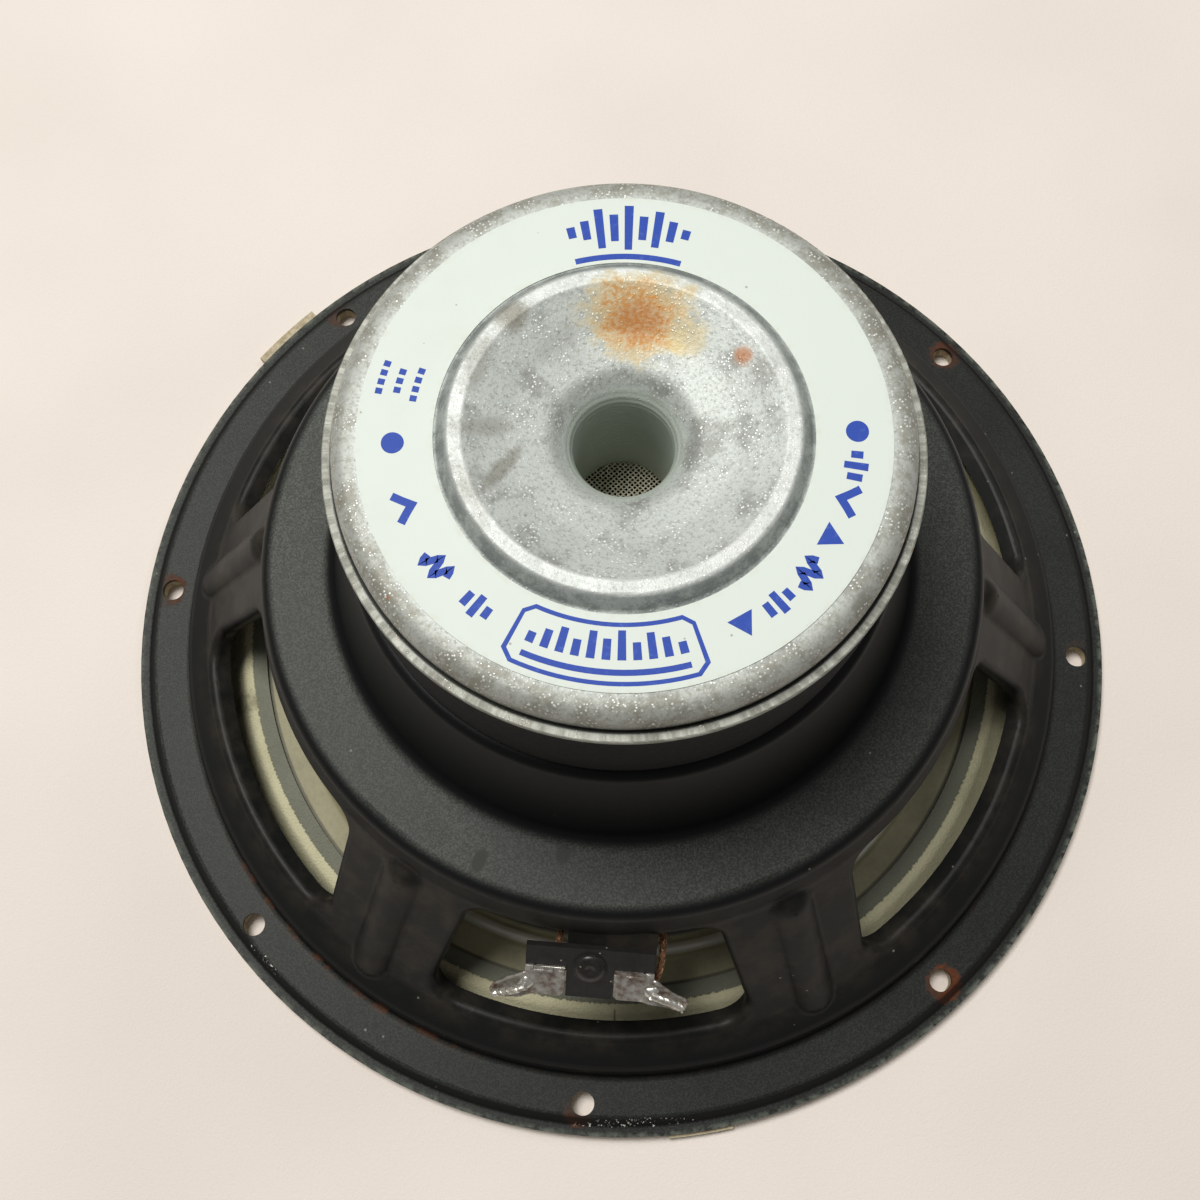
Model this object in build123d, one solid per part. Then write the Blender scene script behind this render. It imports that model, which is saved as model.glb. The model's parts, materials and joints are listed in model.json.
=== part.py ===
from build123d import *
from build123d.topology import SkipClean
import math
import os

# Car subwoofer driver of the 10 inch class with a pressed steel basket, lying face down.
# Millimetres. Z = 0 is the front face of the gasket, +Z runs to the back of the magnet,
# and the speaker's axis is the Z axis. The terminal stands on the -Y side.

# ---- Basket ----------------------------------------------------------------------------
RIM_R = 129.0            # outer radius of the rim
LIP_WIDTH = 2.3          # flat of the turned-down outer lip
LIP_STEP = 2.0           # the flange stands this far behind the lip
STEP_RUN = 2.1           # and its slope takes this much radius
WALL_R = 115.0           # wall that drops into the baffle cut-out
SHEET = 1.2              # basket steel
SHOULDER_RISE = 6.3      # flange to shoulder
SHOULDER_LEAN = 1.0
SILL_R = 107.0           # lower edge of a window, where the arms start
SILL_RISE = 5.0          # shoulder to sill
HEAD_R = 84.5            # upper edge of a window
HEAD_RISE = 36.0         # sill to head
LEDGE_R = 82.0           # outer corner of the spider ledge
LEDGE_RISE = 11.5        # head to ledge
NECK_FOOT_R = 65.6
NECK_TOP_R = 57.6
NECK_RISE = 27.5         # ledge to magnet seat
SEAT_HOLE_PLAY = 3.0     # coil gap to the hole in the magnet seat
ARM_COUNT = 6
SILL_HALF_DEG = 22.0     # half width of a window at its sill
HEAD_HALF_DEG = 19.0     # half width of a window at its head
WINDOW_CORNER_R = 8.0
WINDOW_LIP = 5.0         # depth of the flange turned in round each window
LIP_ROUND = 2.0          # rounding where the sheet turns into that flange
RIB_WIDTH = 10.0         # stiffening rib pressed into each arm
RIB_HEIGHT = 2.6
RIB_FOOT = 1.8           # rounding along the foot of a rib
RIB_PAST_SILL = 7.0      # the rib runs on past the sill and fades into the shoulder
RIB_PAST_HEAD = 2.0
SEAM_CLEAR_DEG = 2.0     # where one arm's model ends and the next starts, clear of rib and window

# ---- Bolt circle and gasket ------------------------------------------------------------
BOLT_COUNT = 8
BOLT_INSET = 7.4         # rim to bolt circle
BOLT_HOLE_R = 2.8
GASKET_THICK = 2.0       # under the lip
GASKET_R_IN = 114.6
GASKET_PIECES = 4
GASKET_GAP_DEG = 1.1     # open joint between two pieces
GASKET_HOLE_PLAY = 0.3
GASKET_STEP_PLAY = 0.8   # to the inner corner of the lip's step
GASKET_SWELLS = ((142.0, 9.0, 2.8), (-77.0, 7.0, 0.8))   # azimuth, width in degrees, stand-out

# ---- Terminal --------------------------------------------------------------------------
TAB_WIDTH = 19.4         # basket tongue that carries the terminal board
TAB_SHIFT_X = 4.5
TERMINAL_TILT = 40.0     # degrees from level
RIVET_RUN = 7.8          # along the tongue, from the window's head to the rivet
TAB_PAST_RIVET = 2.4
BOARD_WIDTH = 28.2
BOARD_THICK = 1.6
BOARD_ABOVE = 4.8        # rivet to the board's upper edge
BOARD_BELOW = 1.2        # rivet to the shoulders that hold the lugs
TONGUE_WIDTH = 10.2
TONGUE_BELOW = 8.0
RIVET_HEAD_R = 3.75
RIVET_HEAD_H = 1.2
RIVET_SHANK_R = 1.8
LUG_THICK = 0.6
LUG_LENGTH = 7.4
LUG_OVERLAP = 1.0        # over the board's lower edge
LUG_SIDE_GAP = 0.3
EAR_HEIGHT = 1.1
TAIL_LENGTH = 9.2
TAIL_WIDTH = 4.7         # blade of a 0.187 inch push-on terminal
TAIL_TURN = 27.0         # degrees below level across the board
TAIL_DROP = 8.0          # degrees away from the board's plane
STUB_R = 0.95            # twisted wire left in the solder
SOLDER_R = 2.1
TINSEL_R = 0.9

# ---- Motor -----------------------------------------------------------------------------
STACK_R = 56.2           # ferrite ring
MAGNET_HOLE_PLAY = 3.5   # coil gap to the hole in the magnet
MAGNET_THICK = 20.5
PLATE_R = 55.9
PLATE_THICK = 8.5
POLE_R = 24.7
POLE_STAND = 0.5         # the pole ends this far in front of the magnet seat
GROOVE_PLAY = 2.8        # coil gap to the side of the groove behind the magnet
GROOVE_DEPTH = 3.5
FLASH_R = 56.45          # forging flash at the yoke's front edge
FLASH_THICK = 1.3
FLASH_GROOVE = 0.5
YOKE_RIM_R = 54.2
YOKE_THICK = 7.1         # to the seat of the label
YOKE_RIM_ROUND = 3.6
DISH_RISE = 2.9          # rim of the dish behind the label's seat
DISH_FOOT_R = 34.4
DISH_RIM_OUT_R = 32.2
DISH_RIM_IN_R = 29.6
DISH_MID_R = 21.0
DISH_MID_DROP = 3.6
VENT_MOUTH_R = 13.8
VENT_MOUTH_DROP = 5.6
VENT_R = 9.5
VENT_FLARE = 4.5
SCREEN_R = 12.0
SCREEN_THICK = 0.6
LABEL_R_OUT = 49.0
LABEL_R_IN = 34.9
LABEL_THICK = 0.2
STAKE_COUNT = 6          # rivets that hold the basket to the front plate
STAKE_CIRCLE_R = 42.0
STAKE_R = 2.6
STAKE_HEAD_R = 4.2
STAKE_HEAD_H = 1.4
STAKE_DEPTH = 5.0

# ---- Moving assembly and suspension ----------------------------------------------------
FORMER_PLAY = 0.3        # former to pole, radial
FORMER_WALL = 0.3
WINDING_WALL = 1.3
WINDING_LENGTH = 23.6
GAP_PLAY = 0.4           # winding to front plate, radial
FORMER_PAST_COIL = 0.9
FORMER_FRONT_Z = 50.0
COLLAR_WALL = 0.3
COLLAR_REAR_Z = 80.0
PAPER = 0.9              # cone paper
CONE_EDGE_Z = 5.9        # back face of the cone's flat edge
CONE_EDGE_R = 98.3
CONE_FLAT_R = 88.4
BEAD_R = 86.0
BEAD_RISE = 2.6
BEAD_FOOT_R = 83.6
BEAD_FOOT_RISE = 1.2
CONE_NECK_Z = 54.0
CONE_COLLAR_H = 3.5
CAP_R = 43.5
CAP_HEIGHT = 12.0
CAP_WALL = 0.8
CAP_GLUE = 2.4
NECK_GLUE = 2.2
PAD_R = 4.0              # glue pads where the tinsel leads meet the cone
PAD_HEIGHT = 2.0
PAD_SITE_R = 46.0
LEAD_CLEAR = 0.4
SURROUND_WALL = 0.8
SURROUND_IN_R = 94.4     # inner landing on the cone's back
SURROUND_LAND_OUT_R = 118.0
SURROUND_LIFT = 0.2      # glue line between cone and surround
ROLL_IN_R = 100.2
ROLL_OUT_R = 113.2
ROLL_APEX_Z = 2.0        # back face of the roll at its deepest
ROLL_SIDE = 3.4
SPIDER_WALL = 0.6
SPIDER_OUT_R = 77.5
SPIDER_LAND_R = 70.5
SPIDER_INNER_FLAT = 3.9  # collar to the first corrugation
SPIDER_ROLLS = 6
SPIDER_DEPTH = 3.0
SPIDER_PLAY = 0.3

# ---- Levels and radii that follow ------------------------------------------------------
LIP_Z = GASKET_THICK + SHEET
FLANGE_Z = LIP_Z + LIP_STEP
SHOULDER_Z = FLANGE_Z + SHOULDER_RISE
SILL_Z = SHOULDER_Z + SILL_RISE
HEAD_Z = SILL_Z + HEAD_RISE
LEDGE_Z = HEAD_Z + LEDGE_RISE
SEAT_Z = LEDGE_Z + NECK_RISE
MAGNET_Z = SEAT_Z + PLATE_THICK
YOKE_Z = MAGNET_Z + MAGNET_THICK
LABEL_Z = YOKE_Z + YOKE_THICK
DISH_Z = LABEL_Z + DISH_RISE
POLE_Z = SEAT_Z - POLE_STAND
BOLT_R = RIM_R - BOLT_INSET
FORMER_R = POLE_R + FORMER_PLAY
FORMER_OUT_R = FORMER_R + FORMER_WALL
WINDING_R = FORMER_OUT_R + WINDING_WALL
PLATE_HOLE_R = WINDING_R + GAP_PLAY
SEAT_HOLE_R = PLATE_HOLE_R + SEAT_HOLE_PLAY
MAGNET_HOLE_R = PLATE_HOLE_R + MAGNET_HOLE_PLAY
GROOVE_R = PLATE_HOLE_R + GROOVE_PLAY
GAP_Z = SEAT_Z + PLATE_THICK / 2
FORMER_REAR_Z = GAP_Z + WINDING_LENGTH / 2 + FORMER_PAST_COIL
COLLAR_R = FORMER_OUT_R + COLLAR_WALL
SPIDER_FIRST_R = COLLAR_R + SPIDER_INNER_FLAT
NECK_R = COLLAR_R + PAPER
BEAD_FOOT_Z = CONE_EDGE_Z + BEAD_FOOT_RISE
CONE_SLOPE = (CONE_NECK_Z - BEAD_FOOT_Z) / (BEAD_FOOT_R - NECK_R)
SLOPE = math.atan2(HEAD_RISE, SILL_R - HEAD_R)   # of the arms, from level
SIDES = {"left": -1, "right": 1}
TOUCH = 0.02             # two shapes this close touch


def polar(radius, degrees, z=0.0):
    """Point at a radius and azimuth about the speaker's axis."""
    angle = math.radians(degrees)
    return Vector(radius * math.cos(angle), radius * math.sin(angle), z)


def turned(profile):
    """Solid of revolution from (radius, height) corners, some with a rounding as a third value."""
    face = make_face(Polyline(*[(r, 0, z) for r, z, *_ in profile], close=True)).face()
    for r, z, *rounding in profile:
        if rounding:
            corner = face.vertices().sort_by_distance((r, 0, z))[0]
            face = face.fillet_2d(rounding[0], [corner])
    return revolve(face, Axis.Z)


def ring(r_in, r_out, z_low, z_high):
    """Plain ring with square edges."""
    return turned([(r_in, z_low), (r_out, z_low), (r_out, z_high), (r_in, z_high)])


def sheet_face(points, radii, wall):
    """Cross-section of a sheet whose back surface follows the points, thick towards the front."""
    back = FilletPolyline(*[(r, 0, z) for r, z in points], radius=radii)
    faces = [make_face(offset(back, amount=wall, side=s, closed=True)).face() for s in (Side.LEFT, Side.RIGHT)]
    return min(faces, key=lambda face: face.center().Z)


def pie(radius, height, first, span):
    """Slice of a disc from one azimuth on, centred in height."""
    slice_ = Cylinder(radius, height, arc_size=span, align=(Align.NONE, Align.NONE, Align.CENTER))
    return Rot(0, 0, first) * slice_


def around(shape, count):
    """Copies of a shape spaced evenly about the axis."""
    return [Rot(0, 0, 360.0 * k / count) * shape for k in range(count)]


def slope_plane(azimuth):
    """Plane on an arm's slope, midway between sill and head: X across, Y up the slope, Z outward."""
    middle_r, middle_z = (SILL_R + HEAD_R) / 2, (SILL_Z + HEAD_Z) / 2
    outward = polar(math.sin(SLOPE), azimuth, math.cos(SLOPE))
    across = polar(1.0, azimuth + 90.0)
    return Plane(origin=polar(middle_r, azimuth, middle_z), x_dir=across, z_dir=outward)


# ---- Basket ----------------------------------------------------------------------------
def basket_profile():
    """Back surface of the pressing from the rim to the magnet seat."""
    return [
        (RIM_R, LIP_Z),
        (RIM_R - LIP_WIDTH, LIP_Z),
        (RIM_R - LIP_WIDTH - STEP_RUN, FLANGE_Z),
        (WALL_R, FLANGE_Z),
        (WALL_R - SHOULDER_LEAN, SHOULDER_Z),
        (SILL_R, SILL_Z),
        (HEAD_R, HEAD_Z),
        (LEDGE_R, LEDGE_Z),
        (NECK_FOOT_R, LEDGE_Z),
        (NECK_TOP_R, SEAT_Z),
        (SEAT_HOLE_R, SEAT_Z),
    ]


BASKET_ROUNDS = [0.8, 1.6, 1.6, 4.0, 6.0, 8.0, 3.5, 4.0, 2.5]


def window_outline():
    """Outline of a window on its slope plane: arcs that follow the sill and the head."""
    def on_slope(radius, degrees, z):
        angle = math.radians(degrees)
        inward = (SILL_R + HEAD_R) / 2 - radius * math.cos(angle)
        rise = z - (SILL_Z + HEAD_Z) / 2
        return radius * math.sin(angle), inward * math.cos(SLOPE) + rise * math.sin(SLOPE)

    sill = [on_slope(SILL_R, d, SILL_Z) for d in (-SILL_HALF_DEG, 0, SILL_HALF_DEG)]
    head = [on_slope(HEAD_R, d, HEAD_Z) for d in (HEAD_HALF_DEG, 0, -HEAD_HALF_DEG)]
    edges = ThreePointArc(*sill) + Line(sill[2], head[0]) + ThreePointArc(*head) + Line(head[2], sill[0])
    outline = make_face(edges)
    return fillet(outline.vertices(), WINDOW_CORNER_R)


def rib_bar(shrink):
    """Round-ended bar under a rib's skin, in its slope plane, sunk so that only its crown stands out."""
    half_slope = math.hypot(SILL_R - HEAD_R, HEAD_RISE) / 2
    crown_r = (RIB_WIDTH ** 2 / 4 + RIB_HEIGHT ** 2) / (2 * RIB_HEIGHT)
    low, high = crown_r - half_slope - RIB_PAST_SILL, half_slope + RIB_PAST_HEAD - crown_r
    radius = crown_r - shrink
    bar = Pos(0, (low + high) / 2, 0) * Rot(90, 0, 0) * Cylinder(radius, high - low)
    ends = [Pos(0, y, 0) * Sphere(radius) for y in (low, high)]
    return Pos(0, 0, RIB_HEIGHT - crown_r) * (bar + ends)


def edges_on(solid, back, near):
    """Edges of a solid that lie on the basket's back surface and on a given shape."""
    def lies(edge):
        points = [edge @ share for share in (0.1, 0.3, 0.5, 0.7, 0.9)]
        flat = [Vector(math.hypot(p.X, p.Y), 0, p.Z) for p in points]
        return all(back.distance_to(p) < TOUCH and near.distance_to(q) < TOUCH for p, q in zip(flat, points))

    return [edge for edge in solid.edges() if lies(edge)]


def basket_sector():
    """One arm's worth of the basket: a window with its turned-in flange and a ribbed arm."""
    arc = 360.0 / ARM_COUNT
    start = -90.0 - SILL_HALF_DEG - SEAM_CLEAR_DEG
    section = sheet_face(basket_profile(), BASKET_ROUNDS, SHEET)
    deep = sheet_face(basket_profile()[3:8], BASKET_ROUNDS[3:6], WINDOW_LIP)
    back = FilletPolyline(*[(r, 0, z) for r, z in basket_profile()], radius=BASKET_ROUNDS)
    wedge = Rot(0, 0, start) * revolve(section, Axis.Z, arc)
    backing = Rot(0, 0, start) * revolve(deep, Axis.Z, arc)
    window = slope_plane(-90.0)
    outer = window_outline()
    inner = offset(outer, amount=-SHEET)
    reach = 4 * WINDOW_LIP
    hole = extrude(window * inner, reach, both=True)
    flange = (extrude(window * outer, reach, both=True) - hole) & backing
    wedge = (wedge - hole) + flange
    wedge = wedge.fillet(LIP_ROUND, edges_on(wedge, back, hole))
    arm = slope_plane(-90.0 + arc / 2)
    rib = arm * rib_bar(0.0)
    outside = arm * (Pos(0, 0, RIB_WIDTH - SHEET) * Box(2 * RIB_WIDTH, 8 * RIB_WIDTH, 2 * RIB_WIDTH))
    wedge = wedge + (rib & outside) - arm * rib_bar(SHEET)
    return wedge.fillet(RIB_FOOT, edges_on(wedge, back, rib))


def basket():
    """The pressed basket with its windows, ribs, bolt holes and terminal tongue."""
    hole = Cylinder(BOLT_HOLE_R, 6 * SHEET)
    with SkipClean():   # the sectors' seams stay, because merged faces don't survive the file
        body = Part() + around(basket_sector(), ARM_COUNT)
        body -= [Pos(*polar(BOLT_R, -90.0 + 360.0 * k / BOLT_COUNT, FLANGE_Z)) * hole for k in range(BOLT_COUNT)]
        body -= around(Pos(STAKE_CIRCLE_R, 0, SEAT_Z) * Cylinder(STAKE_R, 4 * SHEET), STAKE_COUNT)
        body += terminal_tab()
    return body


# ---- Terminal --------------------------------------------------------------------------
def terminal_plane():
    """Plane of the tongue's outer face with its origin on the rivet: Y runs up the slope."""
    tilt = math.radians(TERMINAL_TILT)
    rivet_r = HEAD_R + RIVET_RUN * math.cos(tilt)
    rivet_z = HEAD_Z - RIVET_RUN * math.sin(tilt)
    return Plane(origin=(0, -rivet_r, rivet_z), x_dir=(1, 0, 0), z_dir=(0, -math.sin(tilt), math.cos(tilt)))


def slab(x_low, x_high, y_low, y_high, z_low, z_high):
    """Box between opposite corners."""
    size = (x_high - x_low, y_high - y_low, z_high - z_low)
    return Pos((x_low + x_high) / 2, (y_low + y_high) / 2, (z_low + z_high) / 2) * Box(*size)


def terminal_tab():
    """Tongue of the basket sheet, bent out at the window's head."""
    half = TAB_WIDTH / 2
    tongue = slab(TAB_SHIFT_X - half, TAB_SHIFT_X + half, -TAB_PAST_RIVET, RIVET_RUN + SHEET, -SHEET, 0)
    return terminal_plane() * (tongue - Cylinder(RIVET_SHANK_R, 4 * SHEET))


def terminal_board():
    """T-shaped phenolic board."""
    half = BOARD_WIDTH / 2
    bar = slab(-half, half, -BOARD_BELOW, BOARD_ABOVE, 0, BOARD_THICK)
    tongue = slab(-TONGUE_WIDTH / 2, TONGUE_WIDTH / 2, -TONGUE_BELOW, 0, 0, BOARD_THICK)
    return terminal_plane() * (bar + tongue - Cylinder(RIVET_SHANK_R, 4 * BOARD_THICK))


def terminal_rivet():
    """Domed rivet through board and tongue, with its closed end behind."""
    span = BOARD_THICK + SHEET
    crown_r = (RIVET_HEAD_R ** 2 + RIVET_HEAD_H ** 2) / (2 * RIVET_HEAD_H)
    ball = Pos(0, 0, BOARD_THICK + RIVET_HEAD_H - crown_r) * Sphere(crown_r)
    head = ball & slab(-crown_r, crown_r, -crown_r, crown_r, BOARD_THICK, BOARD_THICK + RIVET_HEAD_H)
    shank = Pos(0, 0, (BOARD_THICK - SHEET) / 2) * Cylinder(RIVET_SHANK_R, span)
    tail = Pos(0, 0, -SHEET - RIVET_HEAD_H / 2) * Cylinder(1.5 * RIVET_SHANK_R, RIVET_HEAD_H)
    return terminal_plane() * (head + shank + tail)


def tail_place(side):
    """Where a lug's tail leaves its plate: X runs out along the tail."""
    x = side * (BOARD_WIDTH / 2 - LUG_THICK)
    y = -BOARD_BELOW - LUG_LENGTH / 2
    turn = -TAIL_TURN if side > 0 else 180.0 + TAIL_TURN
    return Pos(x, y, BOARD_THICK) * Rot(0, 0, turn) * Rot(0, TAIL_DROP, 0)


def lug(side):
    """Tinned lug: a plate over the board's edge, two ears and a splayed blade."""
    inner = TONGUE_WIDTH / 2 + LUG_SIDE_GAP
    outer = BOARD_WIDTH / 2
    low, high = sorted((side * inner, side * outer))
    top = -BOARD_BELOW + LUG_OVERLAP
    plate = slab(low, high, top - LUG_LENGTH, top, BOARD_THICK, BOARD_THICK + LUG_THICK)
    for start, width in ((0.0, 1.2), (2.6, 4.2)):
        a, b = sorted((side * (inner + start), side * (inner + start + width)))
        plate += slab(a, b, top - LUG_THICK, top, BOARD_THICK, BOARD_THICK + LUG_THICK + EAR_HEIGHT)
    blade = slab(-1.0, TAIL_LENGTH, -TAIL_WIDTH / 2, TAIL_WIDTH / 2, 0, LUG_THICK)
    return terminal_plane() * (plate + tail_place(side) * blade)


def wire_stub(side):
    """Short end of tinned wire lying along the lug."""
    run = TAIL_LENGTH - 1.0
    place = tail_place(side) * Pos(run / 2, 0, LUG_THICK + STUB_R + 0.02) * Rot(0, 90, 0)
    return terminal_plane() * (place * Cylinder(STUB_R, run))


def solder(side, metal):
    """Solder run out over the lug and the start of the wire."""
    blob = Pos(1.2, 0, LUG_THICK) * scale(Sphere(SOLDER_R), (1.3, 0.9, 0.75))
    above = slab(-2 * SOLDER_R, 3 * SOLDER_R, -SOLDER_R, SOLDER_R, LUG_THICK, LUG_THICK + 2 * SOLDER_R)
    shape = terminal_plane() * (tail_place(side) * (blob & above))
    for solid in metal:
        shape = shape - solid
    return max(shape.solids(), key=lambda s: s.volume)


# ---- Tinsel leads ----------------------------------------------------------------------
LEAD_ROUTES = {
    "left": [
        (-9.6, -96.0, 41.6), (-8.6, -91.6, 44.4), (-7.2, -86.4, 46.2), (-7.0, -80.6, 44.8),
        (-8.2, -73.4, 40.6), (-9.8, -65.0, 37.4), (-11.2, -56.6, 38.6), (-12.0, -50.2, 42.4),
        (-12.2, -46.4, 44.6),
    ],
    "right": [
        (13.0, -96.6, 41.8), (15.2, -92.0, 44.6), (15.8, -86.6, 46.4), (15.2, -80.4, 45.2),
        (14.0, -73.0, 41.8), (12.8, -64.6, 38.2), (12.2, -56.4, 38.4), (12.0, -50.4, 41.6),
        (12.0, -46.6, 44.4),
    ],
}


def corner_radii(points):
    """Rounding of each corner of a route, from its shorter run and its turn."""
    radii = []
    for before, corner, after in zip(points, points[1:], points[2:]):
        first, second = corner - before, after - corner
        turn = math.radians(first.get_angle(second))
        radii.append(0.45 * min(first.length, second.length) / math.tan(turn / 2))
    return radii


def tinsel_lead(name):
    """Braided lead from the back of a lug, under the ledge, to its pad on the cone."""
    points = [Vector(*p) for p in LEAD_ROUTES[name]]
    radii = corner_radii(points)
    path = FilletPolyline(*points, radius=radii)
    start = Plane(origin=points[0], z_dir=points[1] - points[0])
    tube = sweep(start * Circle(TINSEL_R), path=path)
    exact = math.pi * TINSEL_R ** 2 * path.length
    print(name, "lead length", round(path.length, 1), "least radius", round(min(radii), 1),
          "volume ratio", round(tube.volume / exact, 4))
    return tube


# ---- Motor -----------------------------------------------------------------------------
def pole_yoke():
    """Forged back plate and pole in one, with its dished back and vent."""
    dish = DISH_Z - DISH_MID_DROP
    mouth = DISH_Z - VENT_MOUTH_DROP
    return turned([
        (SCREEN_R, POLE_Z), (POLE_R, POLE_Z, 0.6), (POLE_R, YOKE_Z + GROOVE_DEPTH, 1.0),
        (GROOVE_R, YOKE_Z + GROOVE_DEPTH, 1.0), (GROOVE_R, YOKE_Z), (FLASH_R, YOKE_Z),
        (FLASH_R, YOKE_Z + FLASH_THICK, 0.3), (YOKE_RIM_R + FLASH_GROOVE, YOKE_Z + FLASH_THICK, 0.4),
        (YOKE_RIM_R, YOKE_Z + FLASH_THICK - FLASH_GROOVE), (YOKE_RIM_R, LABEL_Z, YOKE_RIM_ROUND),
        (DISH_FOOT_R, LABEL_Z, 0.8), (DISH_RIM_OUT_R, DISH_Z, 1.0), (DISH_RIM_IN_R, DISH_Z, 1.2),
        (DISH_MID_R, dish, 12.0), (VENT_MOUTH_R, mouth, 4.0), (VENT_R, mouth - VENT_FLARE, 5.0),
        (VENT_R, POLE_Z + SCREEN_THICK), (SCREEN_R, POLE_Z + SCREEN_THICK),
    ])


def motor():
    """Front plate, ferrite ring, yoke, vent screen, label and the rivets of the basket."""
    stake = Cylinder(STAKE_R, STAKE_DEPTH + SHEET, align=(Align.CENTER, Align.CENTER, Align.MIN))
    stake += Cylinder(STAKE_HEAD_R, STAKE_HEAD_H, align=(Align.CENTER, Align.CENTER, Align.MAX))
    stakes = around(Pos(STAKE_CIRCLE_R, 0, SEAT_Z - SHEET) * stake, STAKE_COUNT)
    plate = turned([
        (PLATE_HOLE_R, SEAT_Z), (PLATE_R, SEAT_Z, 0.8), (PLATE_R, MAGNET_Z, 0.5), (PLATE_HOLE_R, MAGNET_Z),
    ])
    plate -= around(Pos(STAKE_CIRCLE_R, 0, SEAT_Z) * Cylinder(STAKE_R, 2 * STAKE_DEPTH), STAKE_COUNT)
    magnet = turned([
        (MAGNET_HOLE_R, MAGNET_Z), (STACK_R, MAGNET_Z, 0.8), (STACK_R, YOKE_Z, 0.8), (MAGNET_HOLE_R, YOKE_Z),
    ])
    return {
        "front_plate": plate,
        "ferrite_magnet": magnet,
        "pole_yoke": pole_yoke(),
        "vent_screen": Pos(0, 0, POLE_Z + SCREEN_THICK / 2) * Cylinder(SCREEN_R, SCREEN_THICK),
        "rear_label": ring(LABEL_R_IN, LABEL_R_OUT, LABEL_Z, LABEL_Z + LABEL_THICK),
        "basket_rivets": Compound(stakes),
    }


# ---- Gasket ----------------------------------------------------------------------------
def gasket_pieces():
    """Pressed fibre gasket in separate arcs, two of them swollen out past the rim."""
    under_flange = FLANGE_Z - SHEET
    land = SURROUND_LAND_OUT_R + 0.2
    mitre = SHEET * math.tan(math.atan2(LIP_STEP, STEP_RUN) / 2)
    slope_foot = RIM_R - LIP_WIDTH - mitre
    whole = turned([
        (GASKET_R_IN, 0), (RIM_R, 0, 0.3), (RIM_R, GASKET_THICK), (slope_foot, GASKET_THICK),
        (slope_foot - STEP_RUN - GASKET_STEP_PLAY, under_flange), (land, under_flange),
        (land, under_flange - SURROUND_WALL), (GASKET_R_IN, under_flange - SURROUND_WALL),
    ])
    bolt = Cylinder(BOLT_HOLE_R + GASKET_HOLE_PLAY, 6 * GASKET_THICK)
    pieces = {}
    span = 360.0 / GASKET_PIECES
    for k in range(GASKET_PIECES):
        first = -90.0 + 180.0 / BOLT_COUNT + k * span
        piece = whole & pie(2 * RIM_R, 8 * GASKET_THICK, first + GASKET_GAP_DEG / 2, span - GASKET_GAP_DEG)
        for azimuth, width, stand in GASKET_SWELLS:
            if (azimuth - first) % 360.0 < span:
                swell = pie(RIM_R + stand, 0.8 * GASKET_THICK, azimuth - width / 2, width)
                swell -= Cylinder(RIM_R - LIP_WIDTH, GASKET_THICK)
                piece += Pos(0, 0, GASKET_THICK / 2) * swell
        piece -= [Pos(*polar(BOLT_R, -90.0 + 360.0 * j / BOLT_COUNT)) * bolt for j in range(BOLT_COUNT)]
        pieces[f"gasket_piece_{k + 1}"] = piece
    return pieces


# ---- Suspension ------------------------------------------------------------------------
def surround():
    """Foam half roll between the cone's edge and the flange."""
    land_z = FLANGE_Z - SHEET
    back_z = CONE_EDGE_Z + SURROUND_LIFT + SURROUND_WALL
    points = [
        (SURROUND_LAND_OUT_R, land_z), (ROLL_OUT_R, land_z), (ROLL_OUT_R - ROLL_SIDE, ROLL_APEX_Z),
        (ROLL_IN_R + ROLL_SIDE, ROLL_APEX_Z), (ROLL_IN_R, back_z), (SURROUND_IN_R, back_z),
    ]
    return revolve(sheet_face(points, [1.5, 3.0, 3.0, 1.8], SURROUND_WALL), Axis.Z)


def spider():
    """Corrugated cloth disc between the ledge and the voice coil."""
    land_z = LEDGE_Z - SHEET
    low = land_z - SPIDER_DEPTH
    pitch = (SPIDER_LAND_R - SPIDER_FIRST_R) / (2 * SPIDER_ROLLS)
    points = [(SPIDER_OUT_R, land_z), (SPIDER_LAND_R, land_z)]
    for k in range(1, 2 * SPIDER_ROLLS):
        points.append((SPIDER_LAND_R - k * pitch, low if k % 2 else land_z))
    points += [(SPIDER_FIRST_R, low + SPIDER_DEPTH / 2), (COLLAR_R + SPIDER_PLAY, low + SPIDER_DEPTH / 2)]
    return revolve(sheet_face(points, [1.1] * (len(points) - 2), SPIDER_WALL), Axis.Z)


# ---- Moving assembly -------------------------------------------------------------------
def cone_back_z(radius):
    """Height of the cone's back surface on its straight slope."""
    return CONE_NECK_Z - (radius - NECK_R) * CONE_SLOPE


def cone():
    """Paper cone: flat edge, formed bead, straight flare and neck collar."""
    points = [
        (CONE_EDGE_R, CONE_EDGE_Z), (CONE_FLAT_R, CONE_EDGE_Z), (BEAD_R, CONE_EDGE_Z + BEAD_RISE),
        (BEAD_FOOT_R, BEAD_FOOT_Z), (NECK_R, CONE_NECK_Z), (NECK_R, CONE_NECK_Z + CONE_COLLAR_H),
    ]
    return revolve(sheet_face(points, [1.0, 1.6, 1.0, 2.0], PAPER), Axis.Z)


def dust_cap():
    """Domed cap on the front of the cone."""
    dome_r = (CAP_R ** 2 + CAP_HEIGHT ** 2) / (2 * CAP_HEIGHT)
    apex_z = cone_front_z(CAP_R) - LEAD_CLEAR - CAP_HEIGHT
    centre = Pos(0, 0, apex_z + dome_r)
    shell = centre * (Sphere(dome_r) - Sphere(dome_r - CAP_WALL))
    return shell & (Pos(0, 0, apex_z + CAP_HEIGHT / 2) * Cylinder(CAP_R, CAP_HEIGHT))


def cone_front_z(radius):
    """Height of the cone's front surface on its straight slope."""
    return cone_back_z(radius) - PAPER / math.cos(math.atan(CONE_SLOPE))


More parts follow.
